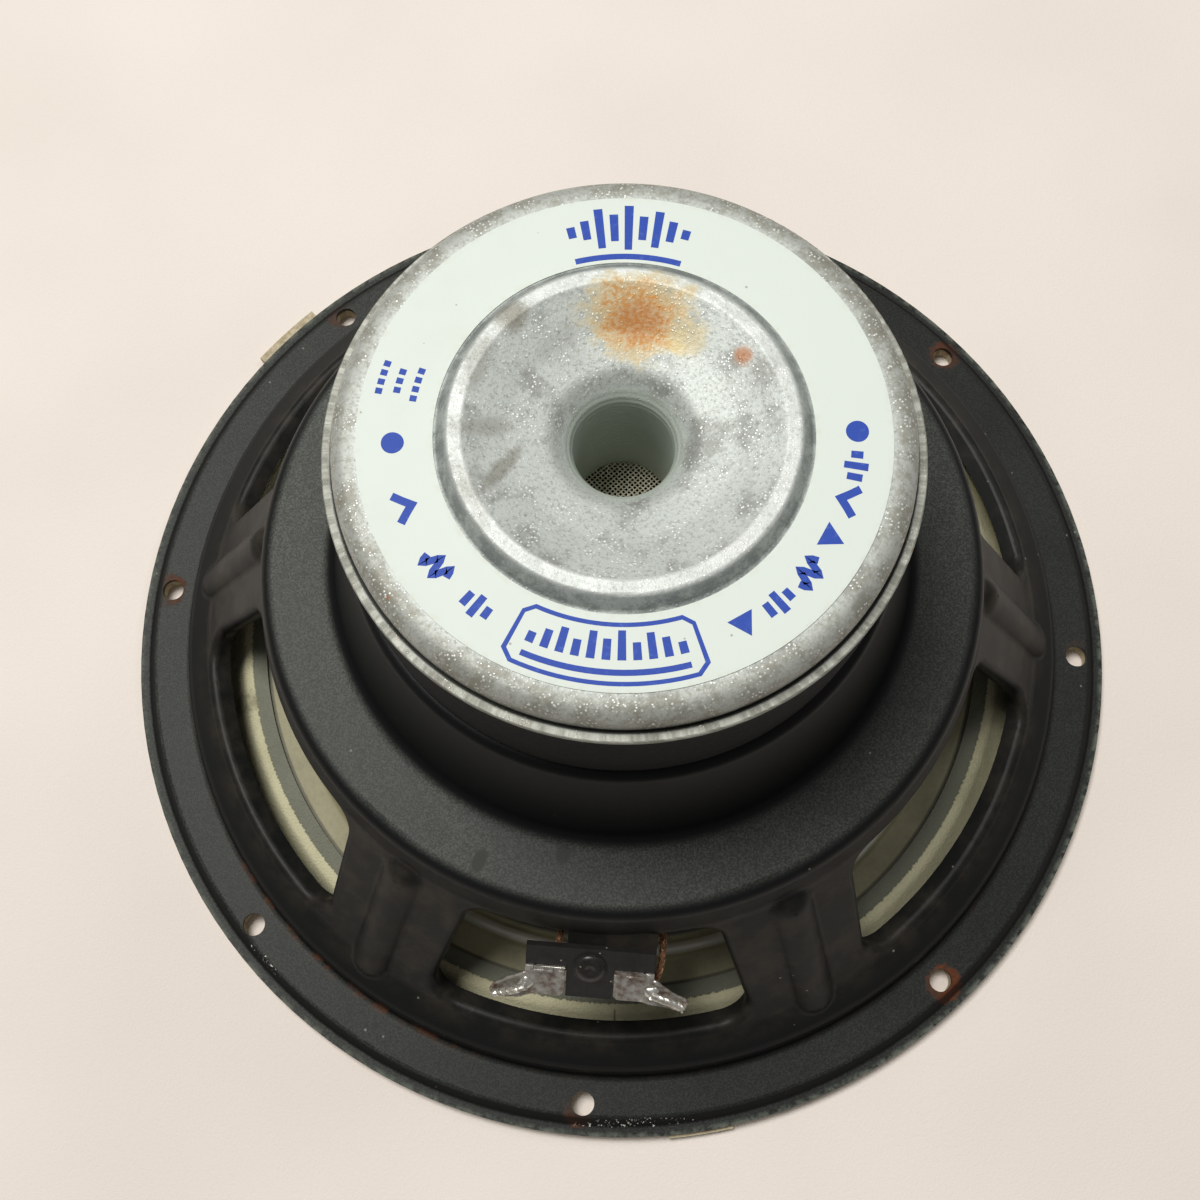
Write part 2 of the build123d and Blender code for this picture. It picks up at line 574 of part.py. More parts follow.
def glue_beads():
    """Glue at the cone's neck, round the dust cap and over the ends of the leads."""
    neck_z = CONE_NECK_Z + CONE_COLLAR_H
    neck = turned([(COLLAR_R, neck_z), (NECK_R + NECK_GLUE / 2, neck_z), (COLLAR_R, neck_z + NECK_GLUE)])
    inner, outer = CAP_R + 0.1, CAP_R + CAP_GLUE
    cap = turned([
        (inner, cone_front_z(inner) - 0.1), (inner, cone_front_z(inner) - CAP_GLUE),
        (outer, cone_front_z(outer) - 0.1),
    ])
    beads = {"cone_neck_glue": neck, "dust_cap_glue": cap}
    flare = math.degrees(math.atan(CONE_SLOPE))
    for name in SIDES:
        x, y, z = LEAD_ROUTES[name][-1]
        azimuth = math.degrees(math.atan2(y, x))
        foot = polar(math.hypot(x, y), azimuth, cone_back_z(math.hypot(x, y)) + 0.1)
        place = Pos(*foot) * Rot(0, 0, azimuth) * Rot(0, flare, 0)
        beads[f"lead_pad_{name}"] = place * Cone(
            PAD_R, PAD_R / 2, PAD_HEIGHT, align=(Align.CENTER, Align.CENTER, Align.MIN))
    return beads


def moving_assembly():
    """Everything that slides on the axis."""
    coil = GAP_Z - WINDING_LENGTH / 2
    return {
        "cone": cone(),
        "dust_cap": dust_cap(),
        "voice_coil_former": ring(FORMER_R, FORMER_OUT_R, FORMER_FRONT_Z, FORMER_REAR_Z),
        "voice_coil_winding": ring(FORMER_OUT_R, WINDING_R, coil, coil + WINDING_LENGTH),
        "former_collar": ring(FORMER_OUT_R, COLLAR_R, FORMER_FRONT_Z, COLLAR_REAR_Z),
        **glue_beads(),
    }


# ---- Assembly --------------------------------------------------------------------------
def terminal_group():
    """Board, rivet, lugs, wire ends, solder and leads."""
    parts = {"terminal_board": terminal_board(), "terminal_rivet": terminal_rivet()}
    for name, side in SIDES.items():
        parts[f"terminal_lug_{name}"] = lug(side)
        parts[f"wire_stub_{name}"] = wire_stub(side)
        parts[f"solder_{name}"] = solder(side, [parts[f"terminal_lug_{name}"], parts[f"wire_stub_{name}"]])
        parts[f"tinsel_lead_{name}"] = tinsel_lead(name)
    return parts


def main():
    os.makedirs("parts", exist_ok=True)
    parts = {"basket": basket(), "surround": surround(), "spider": spider()}
    parts.update(gasket_pieces())
    parts.update(motor())
    parts.update(terminal_group())
    parts.update(moving_assembly())
    for name, shape in parts.items():
        export_step(shape, f"parts/{name}.step")


main()
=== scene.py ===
"""Looks of a ten inch car loudspeaker driver that lies face down, built around its solid model.

Places are in metres in the speaker's own frame: Z is the axis, Z = 0 is the gasket's front face and
the terminal stands on the -Y side. Shapes and finishes are worked out in millimetres.
"""
import json
import logging
import math
import random
from dataclasses import dataclass
from enum import Enum
from typing import Callable, Sequence, Union

import bmesh
import bpy
from mathutils import Matrix, Vector

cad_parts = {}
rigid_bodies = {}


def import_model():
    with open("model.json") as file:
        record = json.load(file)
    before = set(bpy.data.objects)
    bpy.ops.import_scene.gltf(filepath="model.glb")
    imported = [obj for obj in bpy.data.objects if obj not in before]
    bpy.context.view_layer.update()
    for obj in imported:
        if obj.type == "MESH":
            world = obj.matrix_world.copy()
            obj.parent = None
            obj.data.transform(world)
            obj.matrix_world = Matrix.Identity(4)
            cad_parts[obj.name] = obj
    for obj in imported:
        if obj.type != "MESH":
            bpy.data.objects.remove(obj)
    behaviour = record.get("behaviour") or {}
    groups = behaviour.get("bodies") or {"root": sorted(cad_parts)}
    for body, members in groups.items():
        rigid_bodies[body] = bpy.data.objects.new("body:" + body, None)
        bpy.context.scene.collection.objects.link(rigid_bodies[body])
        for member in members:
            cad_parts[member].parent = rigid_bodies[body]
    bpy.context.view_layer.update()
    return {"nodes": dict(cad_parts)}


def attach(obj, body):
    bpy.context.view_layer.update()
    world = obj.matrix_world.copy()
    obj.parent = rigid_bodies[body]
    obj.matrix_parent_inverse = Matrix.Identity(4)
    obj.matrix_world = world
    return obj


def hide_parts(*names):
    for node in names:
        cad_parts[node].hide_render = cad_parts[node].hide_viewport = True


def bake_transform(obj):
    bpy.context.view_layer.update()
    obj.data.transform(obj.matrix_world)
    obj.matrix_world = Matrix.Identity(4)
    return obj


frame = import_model()
NODES = frame["nodes"]
MM = 0.001
LOG = logging.getLogger("driver")
Colour = tuple[float, float, float]
Point = tuple[float, float, float]
Corner = tuple[float, float]
Number = Union[float, int]
Input = Union["Socket", Number, Sequence[float]]


# ---- Shader expressions ----------------------------------------------------------------
class Socket:
    """An output of a node, with operators that add the nodes of the sum they spell out."""

    def __init__(self, graph: "Graph", output: bpy.types.NodeSocket) -> None:
        """Keeps the output and the graph it is in."""
        self.graph = graph
        self.output = output

    def _sum(self, operation: str, first: Input, second: Input) -> "Socket":
        """Adds the node for one operation on two values.

        Args:
            operation: name of a Math operation that Vector Math or Mix has too.
            first: left value.
            second: right value.

        Returns:
            The node's result.
        """
        kinds = [s.output.type for s in (first, second) if isinstance(s, Socket)]
        if "RGBA" in kinds:
            return self.graph.blend(first, second, 1.0, operation)
        if "VECTOR" in kinds:
            return self.graph.node("ShaderNodeVectorMath", {"operation": operation}, {0: first, 1: second})
        return self.graph.node("ShaderNodeMath", {"operation": operation}, {0: first, 1: second})

    def __add__(self, other: Input) -> "Socket":
        """self + other."""
        return self._sum("ADD", self, other)

    def __radd__(self, other: Input) -> "Socket":
        """other + self."""
        return self._sum("ADD", other, self)

    def __sub__(self, other: Input) -> "Socket":
        """self - other."""
        return self._sum("SUBTRACT", self, other)

    def __rsub__(self, other: Input) -> "Socket":
        """other - self."""
        return self._sum("SUBTRACT", other, self)

    def __mul__(self, other: Input) -> "Socket":
        """self * other."""
        return self._sum("MULTIPLY", self, other)

    def __rmul__(self, other: Input) -> "Socket":
        """other * self."""
        return self._sum("MULTIPLY", other, self)

    def __truediv__(self, other: Input) -> "Socket":
        """self / other."""
        return self._sum("DIVIDE", self, other)

    def __rtruediv__(self, other: Input) -> "Socket":
        """other / self."""
        return self._sum("DIVIDE", other, self)

    def __pow__(self, other: Input) -> "Socket":
        """self ** other."""
        return self._sum("POWER", self, other)

    def ramp(self, low: Number, high: Number) -> "Socket":
        """Smooth step from 0 at low to 1 at high, or down if low is the larger."""
        return self.graph.node(
            "ShaderNodeMapRange", {"interpolation_type": "SMOOTHSTEP"},
            {"Value": self, "From Min": low, "From Max": high})

    def band(self, low: Number, high: Number, soft: Number) -> "Socket":
        """1 between two values, with soft edges."""
        return self.ramp(low - soft, low + soft) * self.ramp(high + soft, high - soft)

    def sine(self) -> "Socket":
        """Sine of an angle in radians."""
        return self.graph.node("ShaderNodeMath", {"operation": "SINE"}, {0: self})


class Graph:
    """The node tree of one material."""

    def __init__(self, name: str) -> None:
        """Makes an empty material of that name."""
        self.material = bpy.data.materials.new(name)
        self.material.use_nodes = True
        self.tree = self.material.node_tree
        self.tree.nodes.clear()

    def feed(self, socket: bpy.types.NodeSocket, value: Input) -> None:
        """Links a socket or sets its value."""
        if isinstance(value, Socket):
            self.tree.links.new(value.output, socket)
        elif socket.type == "RGBA" and not isinstance(value, (int, float)):
            socket.default_value = (*value[:3], 1.0)
        elif socket.type in ("RGBA", "VECTOR") and isinstance(value, (int, float)):
            size = 4 if socket.type == "RGBA" else 3
            socket.default_value = (value,) * size
        else:
            socket.default_value = value

    def node(self, kind: str, settings: dict | None = None, inputs: dict | None = None,
             output: Union[int, str] = 0) -> Socket:
        """Adds a node.

        Args:
            kind: Blender's name of the node type.
            settings: properties set before the inputs.
            inputs: values or links by socket name or number.
            output: which output to return.

        Returns:
            The chosen output.
        """
        made = self.tree.nodes.new(kind)
        for name, value in (settings or {}).items():
            setattr(made, name, value)
        for name, value in (inputs or {}).items():
            self.feed(made.inputs[name], value)
        return Socket(self, made.outputs[output])

    def blend(self, first: Input, second: Input, share: Input, operation: str = "MIX") -> Socket:
        """Mixes two colours.

        Args:
            first: colour at share 0.
            second: colour at share 1.
            share: how much of the second.
            operation: Mix node's blend type.

        Returns:
            The mixed colour.
        """
        made = self.tree.nodes.new("ShaderNodeMix")
        made.data_type = "RGBA"
        made.blend_type = operation
        made.clamp_factor = True
        self.feed(made.inputs[0], share)
        self.feed(made.inputs[6], first)
        self.feed(made.inputs[7], second)
        return Socket(self, made.outputs[2])

    def coats(self, colour: Input, *coats: tuple[Input, Input]) -> Input:
        """Lays colours over a colour in turn.

        Args:
            colour: the ground.
            coats: each coat's colour and how much of it covers.

        Returns:
            The last mixed colour.
        """
        for tone, share in coats:
            colour = self.blend(colour, tone, share)
        return colour

    def choose(self, first: Input, second: Input, share: Socket) -> Socket:
        """Plain number between two numbers by a share."""
        return self.node("ShaderNodeMapRange", {}, {"Value": share, "To Min": first, "To Max": second})

    def noise(self, place: Socket, size: float, detail: float = 3.0, rough: float = 0.55) -> Socket:
        """Cloudy pattern from 0 to 1 with features of a size in millimetres."""
        return self.node(
            "ShaderNodeTexNoise", {"noise_dimensions": "3D"},
            {"Vector": place, "Scale": 1.0 / size, "Detail": detail, "Roughness": rough})

    def cells(self, place: Socket, size: float) -> Socket:
        """Distance from the middles of scattered cells of a size in millimetres."""
        return self.node(
            "ShaderNodeTexVoronoi", {"feature": "F1"},
            {"Vector": place, "Scale": 1.0 / size, "Randomness": 1.0}, "Distance")

    def specks(self, place: Socket, size: float, share: float) -> Socket:
        """Scattered round specks of a size in millimetres; share is how much of a cell they fill."""
        return self.cells(place, size).ramp(share, 0.6 * share)

    def finish(self, colour: Input, roughness: Input, bump: Union["Socket", None] = None,
               depth: float = 0.1, **constants: Number) -> bpy.types.Material:
        """Closes the graph with a Principled shader.

        Args:
            colour: base colour.
            roughness: roughness.
            bump: height pattern from 0 to 1, or none.
            depth: height of the bump in millimetres.
            constants: other values by socket name, with underscores for blanks.

        Returns:
            The material.
        """
        shader = self.tree.nodes.new("ShaderNodeBsdfPrincipled")
        self.feed(shader.inputs["Base Color"], colour)
        self.feed(shader.inputs["Roughness"], roughness)
        for name, value in constants.items():
            self.feed(shader.inputs[name.replace("_", " ")], value)
        if bump is not None:
            lift = {"Strength": 1.0, "Distance": depth * MM, "Height": bump}
            self.feed(shader.inputs["Normal"], self.node("ShaderNodeBump", {}, lift))
        out = self.tree.nodes.new("ShaderNodeOutputMaterial")
        self.tree.links.new(shader.outputs[0], out.inputs[0])
        return self.material


class Place:
    """Where a shaded point is on the speaker, in millimetres and degrees."""

    def __init__(self, graph: Graph) -> None:
        """Adds the nodes that read the point."""
        self.graph = graph
        raw = graph.node("ShaderNodeTexCoord", {}, {}, "Object")
        self.point = graph.node("ShaderNodeVectorMath", {"operation": "SCALE"}, {0: raw, "Scale": 1.0 / MM})
        split = graph.node("ShaderNodeSeparateXYZ", {}, {0: self.point})
        self.x, self.y, self.z = (Socket(graph, split.output.node.outputs[k]) for k in range(3))
        self.radius = graph.node(
            "ShaderNodeVectorMath", {"operation": "LENGTH"}, {0: self.point * (1.0, 1.0, 0.0)}, "Value")
        turn = graph.node("ShaderNodeMath", {"operation": "ARCTAN2"}, {0: self.y, 1: self.x})
        self.azimuth = turn * math.degrees(1.0)

    def up(self) -> Socket:
        """How far the surface faces the magnet's end, from -1 to 1."""
        normal = self.graph.node("ShaderNodeNewGeometry", {}, {}, "Normal")
        split = self.graph.node("ShaderNodeSeparateXYZ", {}, {0: normal})
        return Socket(self.graph, split.output.node.outputs[2])

    def oval(self, radius: float, azimuth: float, along: float, across: float, turn: float = 0.0) -> Socket:
        """Distance in plan from an oval spot, as a share of its half lengths.

        Args:
            radius: of the spot's centre from the axis.
            azimuth: of the spot's centre in degrees.
            along: half length towards the rim before the turn.
            across: half length the other way.
            turn: of the oval about its centre in degrees.

        Returns:
            0 at the centre and 1 at the edge.
        """
        angle = math.radians(azimuth)
        lean = math.radians(azimuth + turn)
        gap_x = self.x - radius * math.cos(angle)
        gap_y = self.y - radius * math.sin(angle)
        forward = (gap_x * math.cos(lean) + gap_y * math.sin(lean)) / along
        sideways = (gap_y * math.cos(lean) - gap_x * math.sin(lean)) / across
        return (forward * forward + sideways * sideways) ** 0.5


# ---- Finishes --------------------------------------------------------------------------
def tint(red: int, green: int, blue: int) -> Colour:
    """Linear colour from screen values of 0 to 255."""
    def linear(value: int) -> float:
        """Linear share of one channel."""
        share = value / 255
        return share / 12.92 if share <= 0.04045 else ((share + 0.055) / 1.055) ** 2.4
    return linear(red), linear(green), linear(blue)


@dataclass(frozen=True)
class BlackPaint:
    """Satin black stoving paint on the pressed basket, with dust, rust, a worn rim and a painted sheen
    towards -X.
    """

    paint: Colour = tint(16, 18, 18)
    # Grey of the dust, also used for the painted sheen towards -X.
    dust: Colour = tint(124, 128, 120)
    soil: Colour = tint(104, 94, 80)
    rust: Colour = tint(120, 66, 36)
    worn: Colour = tint(128, 134, 122)
    chip: Colour = tint(225, 222, 212)
    stain: Colour = tint(96, 58, 38)
    scorched: Colour = tint(58, 36, 26)
    shadow: Colour = tint(14, 14, 14)
    grease: Colour = tint(40, 41, 38)
    fleck: Colour = tint(140, 140, 130)
    bolt_radius: float = 121.6
    bolts: int = 8
    rust_reach: float = 2.9

    def holes_rust(self, graph: Graph, place: Place) -> Socket:
        """Rust round every bolt hole, stronger on its outer side."""
        half_step = 180.0 / self.bolts
        turned = graph.node(
            "ShaderNodeMath", {"operation": "PINGPONG"}, {0: place.azimuth + 90.0, 1: half_step})
        sideways = turned * (math.radians(1.0) * self.bolt_radius)
        outward = place.radius - (self.bolt_radius + 1.2)
        away = (sideways * sideways + outward * outward) ** 0.5
        ragged = graph.noise(place.point, 1.6, 4.0, 0.7) * 4.2
        patchy = graph.noise(place.point, 24.0, 1.0).ramp(0.40, 0.62) * 0.85
        return (away - ragged).ramp(self.rust_reach, 1.6) * patchy

    def dust_and_sheen_share(self, place: Place, cloud: Socket, grain: Socket) -> Socket:
        """How much sandy dust lies on the ledge, the flange and other surfaces that face up, plus painted
        sheen towards -X.

        Args:
            place: where the shaded point is.
            cloud: broad pattern.
            grain: fine pattern.

        Returns:
            The share.
        """
        ledge = place.z.band(62.6, 65.0, 0.5) * place.radius.band(67.0, 80.0, 1.2)
        flange = place.z.ramp(6.8, 5.6)
        powder = place.up().ramp(0.55, 0.98) * (0.16 + 0.26 * cloud)
        # Paler towards -X: painted sheen of the light from that side, laid on with the dust.
        west_sheen = (place.x * -1.0).ramp(-40.0, 110.0)
        spread = (0.45 + 0.85 * grain.ramp(0.38, 0.68)) * (0.55 + 0.55 * west_sheen)
        return powder * (ledge * 1.20 + flange * 0.55 + 0.05) * spread

    def material(self) -> bpy.types.Material:
        """Builds the paint."""
        graph = Graph("basket_paint")
        place = Place(graph)
        point, radius = place.point, place.radius
        fine = graph.noise(point, 0.9, 2.0, 0.6)
        cloud = graph.noise(point, 26.0, 4.0, 0.6)
        grain = graph.noise(point, 0.38, 2.0, 0.6)
        up = place.up()
        # Pale grey cover: real dust on surfaces that face up, plus painted sheen towards -X.
        dust_and_sheen = self.dust_and_sheen_share(place, cloud, grain)
        arms = place.z.band(15.0, 61.0, 3.0) * radius.band(82.0, 112.0, 2.0)
        brown = arms * (0.02 + 0.16 * graph.noise(point, 9.0, 4.0, 0.65).ramp(0.38, 0.72))
        corner = radius.band(113.4, 116.4, 0.9) * place.z.band(4.6, 7.6, 0.7)
        front = place.oval(115.0, -125.0, 14.0, 46.0).ramp(1.2, 0.4) * 0.8 + 0.12
        stain = corner * graph.noise(point, 5.0, 4.0, 0.7).ramp(0.46, 0.66) * front
        rust = self.holes_rust(graph, place)
        mottled = graph.blend(self.rust, self.scorched, graph.noise(point, 1.1, 2.0))
        worn = radius.ramp(127.4, 128.8) * graph.noise(point, 3.2, 5.0, 0.7).ramp(0.40, 0.60)
        step = radius.band(124.8, 126.6, 0.3)
        chips = graph.noise(point, 0.8, 3.0, 0.7).ramp(0.60, 0.66)
        beside_hole = place.oval(125.6, -84.0, 1.2, 17.0).ramp(1.0, 0.8)
        white = (beside_hole + place.oval(124.9, -131.0, 1.0, 6.0).ramp(1.0, 0.8)) * chips
        drop = place.oval(76.2, -109.0, 2.6, 1.4).ramp(1.2, 0.8)
        smudge = drop + place.oval(69.8, -96.0, 2.0, 1.5).ramp(1.2, 0.8)
        specks = graph.specks(point, 9.0, 0.045) * up.ramp(0.2, 0.6)
        colour = graph.coats(
            self.paint, (self.dust, dust_and_sheen), (self.soil, brown * (0.45 + 0.55 * up.ramp(0.1, 0.7))),
            (self.stain, stain * 0.7), (mottled, rust), (self.worn, worn * 0.45), (self.shadow, step * 0.7),
            (self.chip, white), (self.grease, smudge * 0.75), (self.fleck, specks * 0.6))
        rough = 0.36 + 0.12 * cloud + 0.30 * dust_and_sheen + rust * 0.4 + worn * 0.25
        bump = fine * 0.5 + grain * 0.5 + rust * 2.0 - white
        return graph.finish(colour, rough, bump, 0.035, Specular_IOR_Level=0.13)


@dataclass(frozen=True)
class ZincForging:
    """Old zinc plate on the forged yoke: grey with bright grains, scratches and rust."""

    zinc: Colour = tint(186, 192, 187)
    pale: Colour = tint(226, 230, 226)
    dull: Colour = tint(128, 130, 120)
    dark: Colour = tint(96, 84, 62)
    rust: Colour = tint(160, 98, 38)
    orange: Colour = tint(184, 134, 70)
    yellow: Colour = tint(196, 178, 128)

    mid: Colour = tint(112, 113, 106)
    rim: Colour = tint(132, 130, 118)
    flank: Colour = tint(120, 126, 124)
    bore: Colour = tint(176, 184, 174)
    groove: Colour = tint(44, 46, 42)
    shear_dark: Colour = tint(116, 116, 106)
    shear_light: Colour = tint(176, 178, 168)
    # Dark patches on the left of the dish: radius, azimuth, along, across, turn and depth.
    left_dark_patches: tuple[tuple[float, ...], ...] = (
        (30.4, 138.0, 3.4, 4.4, 0.0, 0.62), (25.0, -177.0, 6.4, 2.2, 12.0, 0.34),
        (23.4, -157.0, 7.4, 1.7, 38.0, 0.50), (29.6, 160.0, 2.6, 7.0, 0.0, 0.30),
        (30.8, -150.0, 1.8, 9.0, 0.0, 0.28), (21.0, 128.0, 4.0, 5.0, 0.0, 0.20))

    def stains(self, graph: Graph, place: Place, colour: Input) -> Input:
        """Lays rust blooms on the dish and darkens patches on its left side.

        Args:
            graph: the material's graph.
            place: where the shaded point is.
            colour: colour so far.

        Returns:
            The stained colour.
        """
        wobble = (graph.noise(place.point, 5.0, 6.0, 0.75) - 0.5) * 1.7
        fine = graph.noise(place.point, 0.8, 2.0, 0.6)
        bloom = place.oval(23.6, 87.0, 8.6, 10.6) + wobble
        heart = place.oval(22.8, 87.0, 4.4, 6.4) + wobble * 0.8
        fringe = place.oval(22.5, 63.0, 4.5, 4.0) + wobble
        spot = place.oval(26.0, 38.0, 2.5, 2.5) + wobble
        colour = graph.coats(
            colour, (self.yellow, bloom.ramp(1.15, 0.75) * 0.62),
            (self.orange, bloom.ramp(0.95, 0.45) * (0.15 + 1.0 * fine.ramp(0.3, 0.7))),
            (self.rust, heart.ramp(1.1, 0.3) * (0.35 + 0.5 * fine)),
            (self.yellow, fringe.ramp(1.1, 0.5) * 0.55), (self.rust, spot.ramp(1.0, 0.3) * 0.75))
        # Darkens the listed patches on the left of the dish.
        for *oval, depth in self.left_dark_patches:
            left_dark_patch = place.oval(*oval) + wobble
            colour = graph.blend(colour, self.dark, left_dark_patch.ramp(1.15, 0.35) * depth)
        return colour

    def material(self) -> bpy.types.Material:
        """Builds the plate."""
        graph = Graph("zinc_forging")
        place = Place(graph)
        point, radius = place.point, place.radius
        grain = graph.noise(point, 0.7, 3.0, 0.75)
        cloud = graph.noise(point, 10.0, 5.0, 0.7)
        patch = graph.noise(point, 5.0, 5.0, 0.75)
        flakes = graph.cells(point, 0.75).ramp(0.40, 0.14) * patch.ramp(0.44, 0.60)
        rim = radius.ramp(48.6, 50.6)
        crown = radius.band(29.4, 33.6, 0.5) * place.z.ramp(128.6, 129.8)
        flank = radius.band(32.4, 35.2, 0.6)
        colour = graph.coats(
            self.zinc, (self.dull, grain.ramp(0.46, 0.74) * 0.75), (self.mid, cloud.ramp(0.46, 0.66) * 0.62),
            (self.rim, rim * (0.35 + 0.5 * patch.ramp(0.40, 0.62))), (self.pale, flakes * 0.95),
            (self.pale, crown * (0.15 + 0.5 * patch.ramp(0.42, 0.62))),
            (self.flank, flank * (0.4 + 0.5 * patch.ramp(0.40, 0.60))))
        bore = radius.ramp(12.5, 9.8)
        side = radius.ramp(54.6, 55.4)
        shear = graph.noise(self.sheared(graph, place), 1.0, 4.0, 0.7)
        sheared = graph.blend(self.shear_dark, self.shear_light, shear.ramp(0.36, 0.70))
        hurt = graph.noise(point, 5.0, 4.0, 0.7).ramp(0.66, 0.74) * radius.ramp(50.5, 53.0)
        groove = radius.band(53.4, 54.9, 0.25) * place.z.band(120.6, 122.3, 0.3)
        colour = graph.coats(
            self.stains(graph, place, colour), (self.bore, bore), (sheared, side * 0.9),
            (self.rust, hurt * 0.75), (self.groove, groove * 0.85))
        rings = (place.z * 5.2 + grain * 2.0).sine()
        bump = grain * 0.7 + flakes * 0.6 + bore * rings * 0.35 + side * shear * 0.8
        rough = 0.46 + 0.20 * grain - 0.20 * flakes
        return graph.finish(colour, rough, bump, 0.10, Metallic=0.30, Specular_IOR_Level=0.5)

    @staticmethod
    def sheared(graph: Graph, place: Place) -> Socket:
        """Point stretched along slanting lines round the flash, where the press sheared it."""
        turn = place.azimuth * (math.radians(1.0) * 56.0)
        slanted = turn * 0.5 + place.z * 2.2
        return graph.node("ShaderNodeCombineXYZ", {}, {"X": slanted, "Y": place.z * 0.12, "Z": 0.0})


@dataclass(frozen=True)
class LabelFilm:
    """Pale printed film, slightly soiled, with fine scuffs."""

    film: Colour = tint(208, 216, 208)
    soil: Colour = tint(196, 196, 176)
    scuff: Colour = tint(168, 170, 160)
    fleck: Colour = tint(120, 110, 90)
    outer: float = 49.2
    inner: float = 34.9

    def material(self) -> bpy.types.Material:
        """Builds the film."""
        graph = Graph("label_film")
        place = Place(graph)
        cloud = graph.noise(place.point, 11.0, 4.0, 0.6)
        radius = place.radius
        edge = radius.ramp(self.outer - 1.6, self.outer) + radius.ramp(self.inner + 1.5, self.inner)
        worn = graph.noise(place.point, 1.6, 3.0).ramp(0.42, 0.7)
        scuff = graph.noise(place.point * (0.12, 1.6, 1.0), 1.25, 4.0, 0.8)
        specks = graph.specks(place.point, 6.0, 0.05)
        colour = graph.coats(
            self.film, (self.soil, cloud.ramp(0.52, 0.86) * 0.14 + edge * worn * 0.35),
            (self.scuff, scuff.ramp(0.70, 0.76) * 0.35), (self.fleck, specks * 0.6))
        bump = cloud + scuff.ramp(0.66, 0.74) * 0.3
        return graph.finish(colour, 0.50 + 0.12 * cloud, bump, 0.02, Specular_IOR_Level=0.35)


@dataclass(frozen=True)
class BlueInk:
    """Screen-printed blue, a little thin in places."""

    ink: Colour = tint(38, 70, 162)
    thin: Colour = tint(92, 122, 200)

    def material(self) -> bpy.types.Material:
        """Builds the ink."""
        graph = Graph("blue_ink")
        place = Place(graph)
        patch = graph.noise(place.point, 1.4, 4.0, 0.7)
        colour = graph.blend(self.ink, self.thin, patch.ramp(0.52, 0.80) * 0.5)
        return graph.finish(colour, 0.52 + 0.10 * patch, patch, 0.01, Specular_IOR_Level=0.25)


@dataclass(frozen=True)
class Plain:
    """A finish of two mixed tones with fine grain, for the pieces with one simple surface."""

    name: str
    light: Colour
    deep: Colour
    size: float = 3.0
    rough: float = 0.5
    metal: float = 0.0
    depth: float = 0.03
    fibres: tuple[float, float, float] = (1.0, 1.0, 1.0)
    specks: float = 0.0
    shine: float = 0.5

    def material(self) -> bpy.types.Material:
        """Builds the finish."""
        graph = Graph(self.name)
        place = Place(graph)
        cloud = graph.noise(place.point, self.size * 4.0, 3.0, 0.6)
        grain = graph.noise(place.point * self.fibres, self.size, 4.0, 0.65)
        colour = graph.blend(self.light, self.deep, grain.ramp(0.34, 0.68) * 0.6 + cloud.ramp(0.4, 0.7) * 0.4)
        if self.specks:
            spots = graph.specks(place.point, 3.4, self.specks)
            colour = graph.blend(colour, tint(176, 170, 156), spots * 0.6)
        rough = self.rough + (grain - 0.5) * 0.24
        return graph.finish(
            colour, rough, grain, self.depth, Metallic=self.metal, Specular_IOR_Level=self.shine)


@dataclass(frozen=True)
class ConePaper:
    """Treated paper of the cone: dark at the back, khaki outside its formed bead, with a painted highlight on
    the glossy bead.
    """

    inner: Colour = tint(66, 66, 58)
    # Pale coat on the glossy bead: a painted highlight.
    bead_highlight: Colour = tint(196, 194, 178)
    khaki: Colour = tint(152, 148, 116)
    shade: Colour = tint(126, 122, 94)
    face: Colour = tint(34, 34, 36)
    face_light: Colour = tint(52, 52, 54)
    line: Colour = tint(44, 43, 34)
    bead_inner: float = 84.6
    bead_outer: float = 87.2

    def material(self) -> bpy.types.Material:
        """Builds the paper."""
        graph = Graph("cone_paper")
        place = Place(graph)
        radius = place.radius
        fibre = graph.noise(place.point, 1.1, 4.0, 0.7)
        cloud = graph.noise(place.point, 16.0, 3.0, 0.6)
        back = place.up().ramp(-0.2, 0.2)
        # Ring of the bead: real gloss through the coat and low roughness, plus a painted highlight in its
        # colour.
        shine = radius.band(self.bead_inner, self.bead_outer, 0.3)
        colour = graph.coats(
            self.khaki, (self.shade, cloud.ramp(0.35, 0.7) * 0.7 + fibre.ramp(0.4, 0.7) * 0.3),
            (self.inner, radius.ramp(self.bead_inner - 1.2, self.bead_inner - 2.4)),
            (self.bead_highlight, shine * (0.6 + 0.35 * fibre)), (self.line, radius.band(93.6, 94.6, 0.3) * 0.7))
        face = graph.blend(self.face, self.face_light, fibre.ramp(0.4, 0.75))
        bump = fibre + (radius * 4.2).sine() * 0.10
        rough = graph.choose(0.55, 0.16, shine * back) + fibre * 0.12
        return graph.finish(
            graph.blend(face, colour, back), rough, bump, 0.06, Coat_Weight=shine * back, Coat_Roughness=0.12)


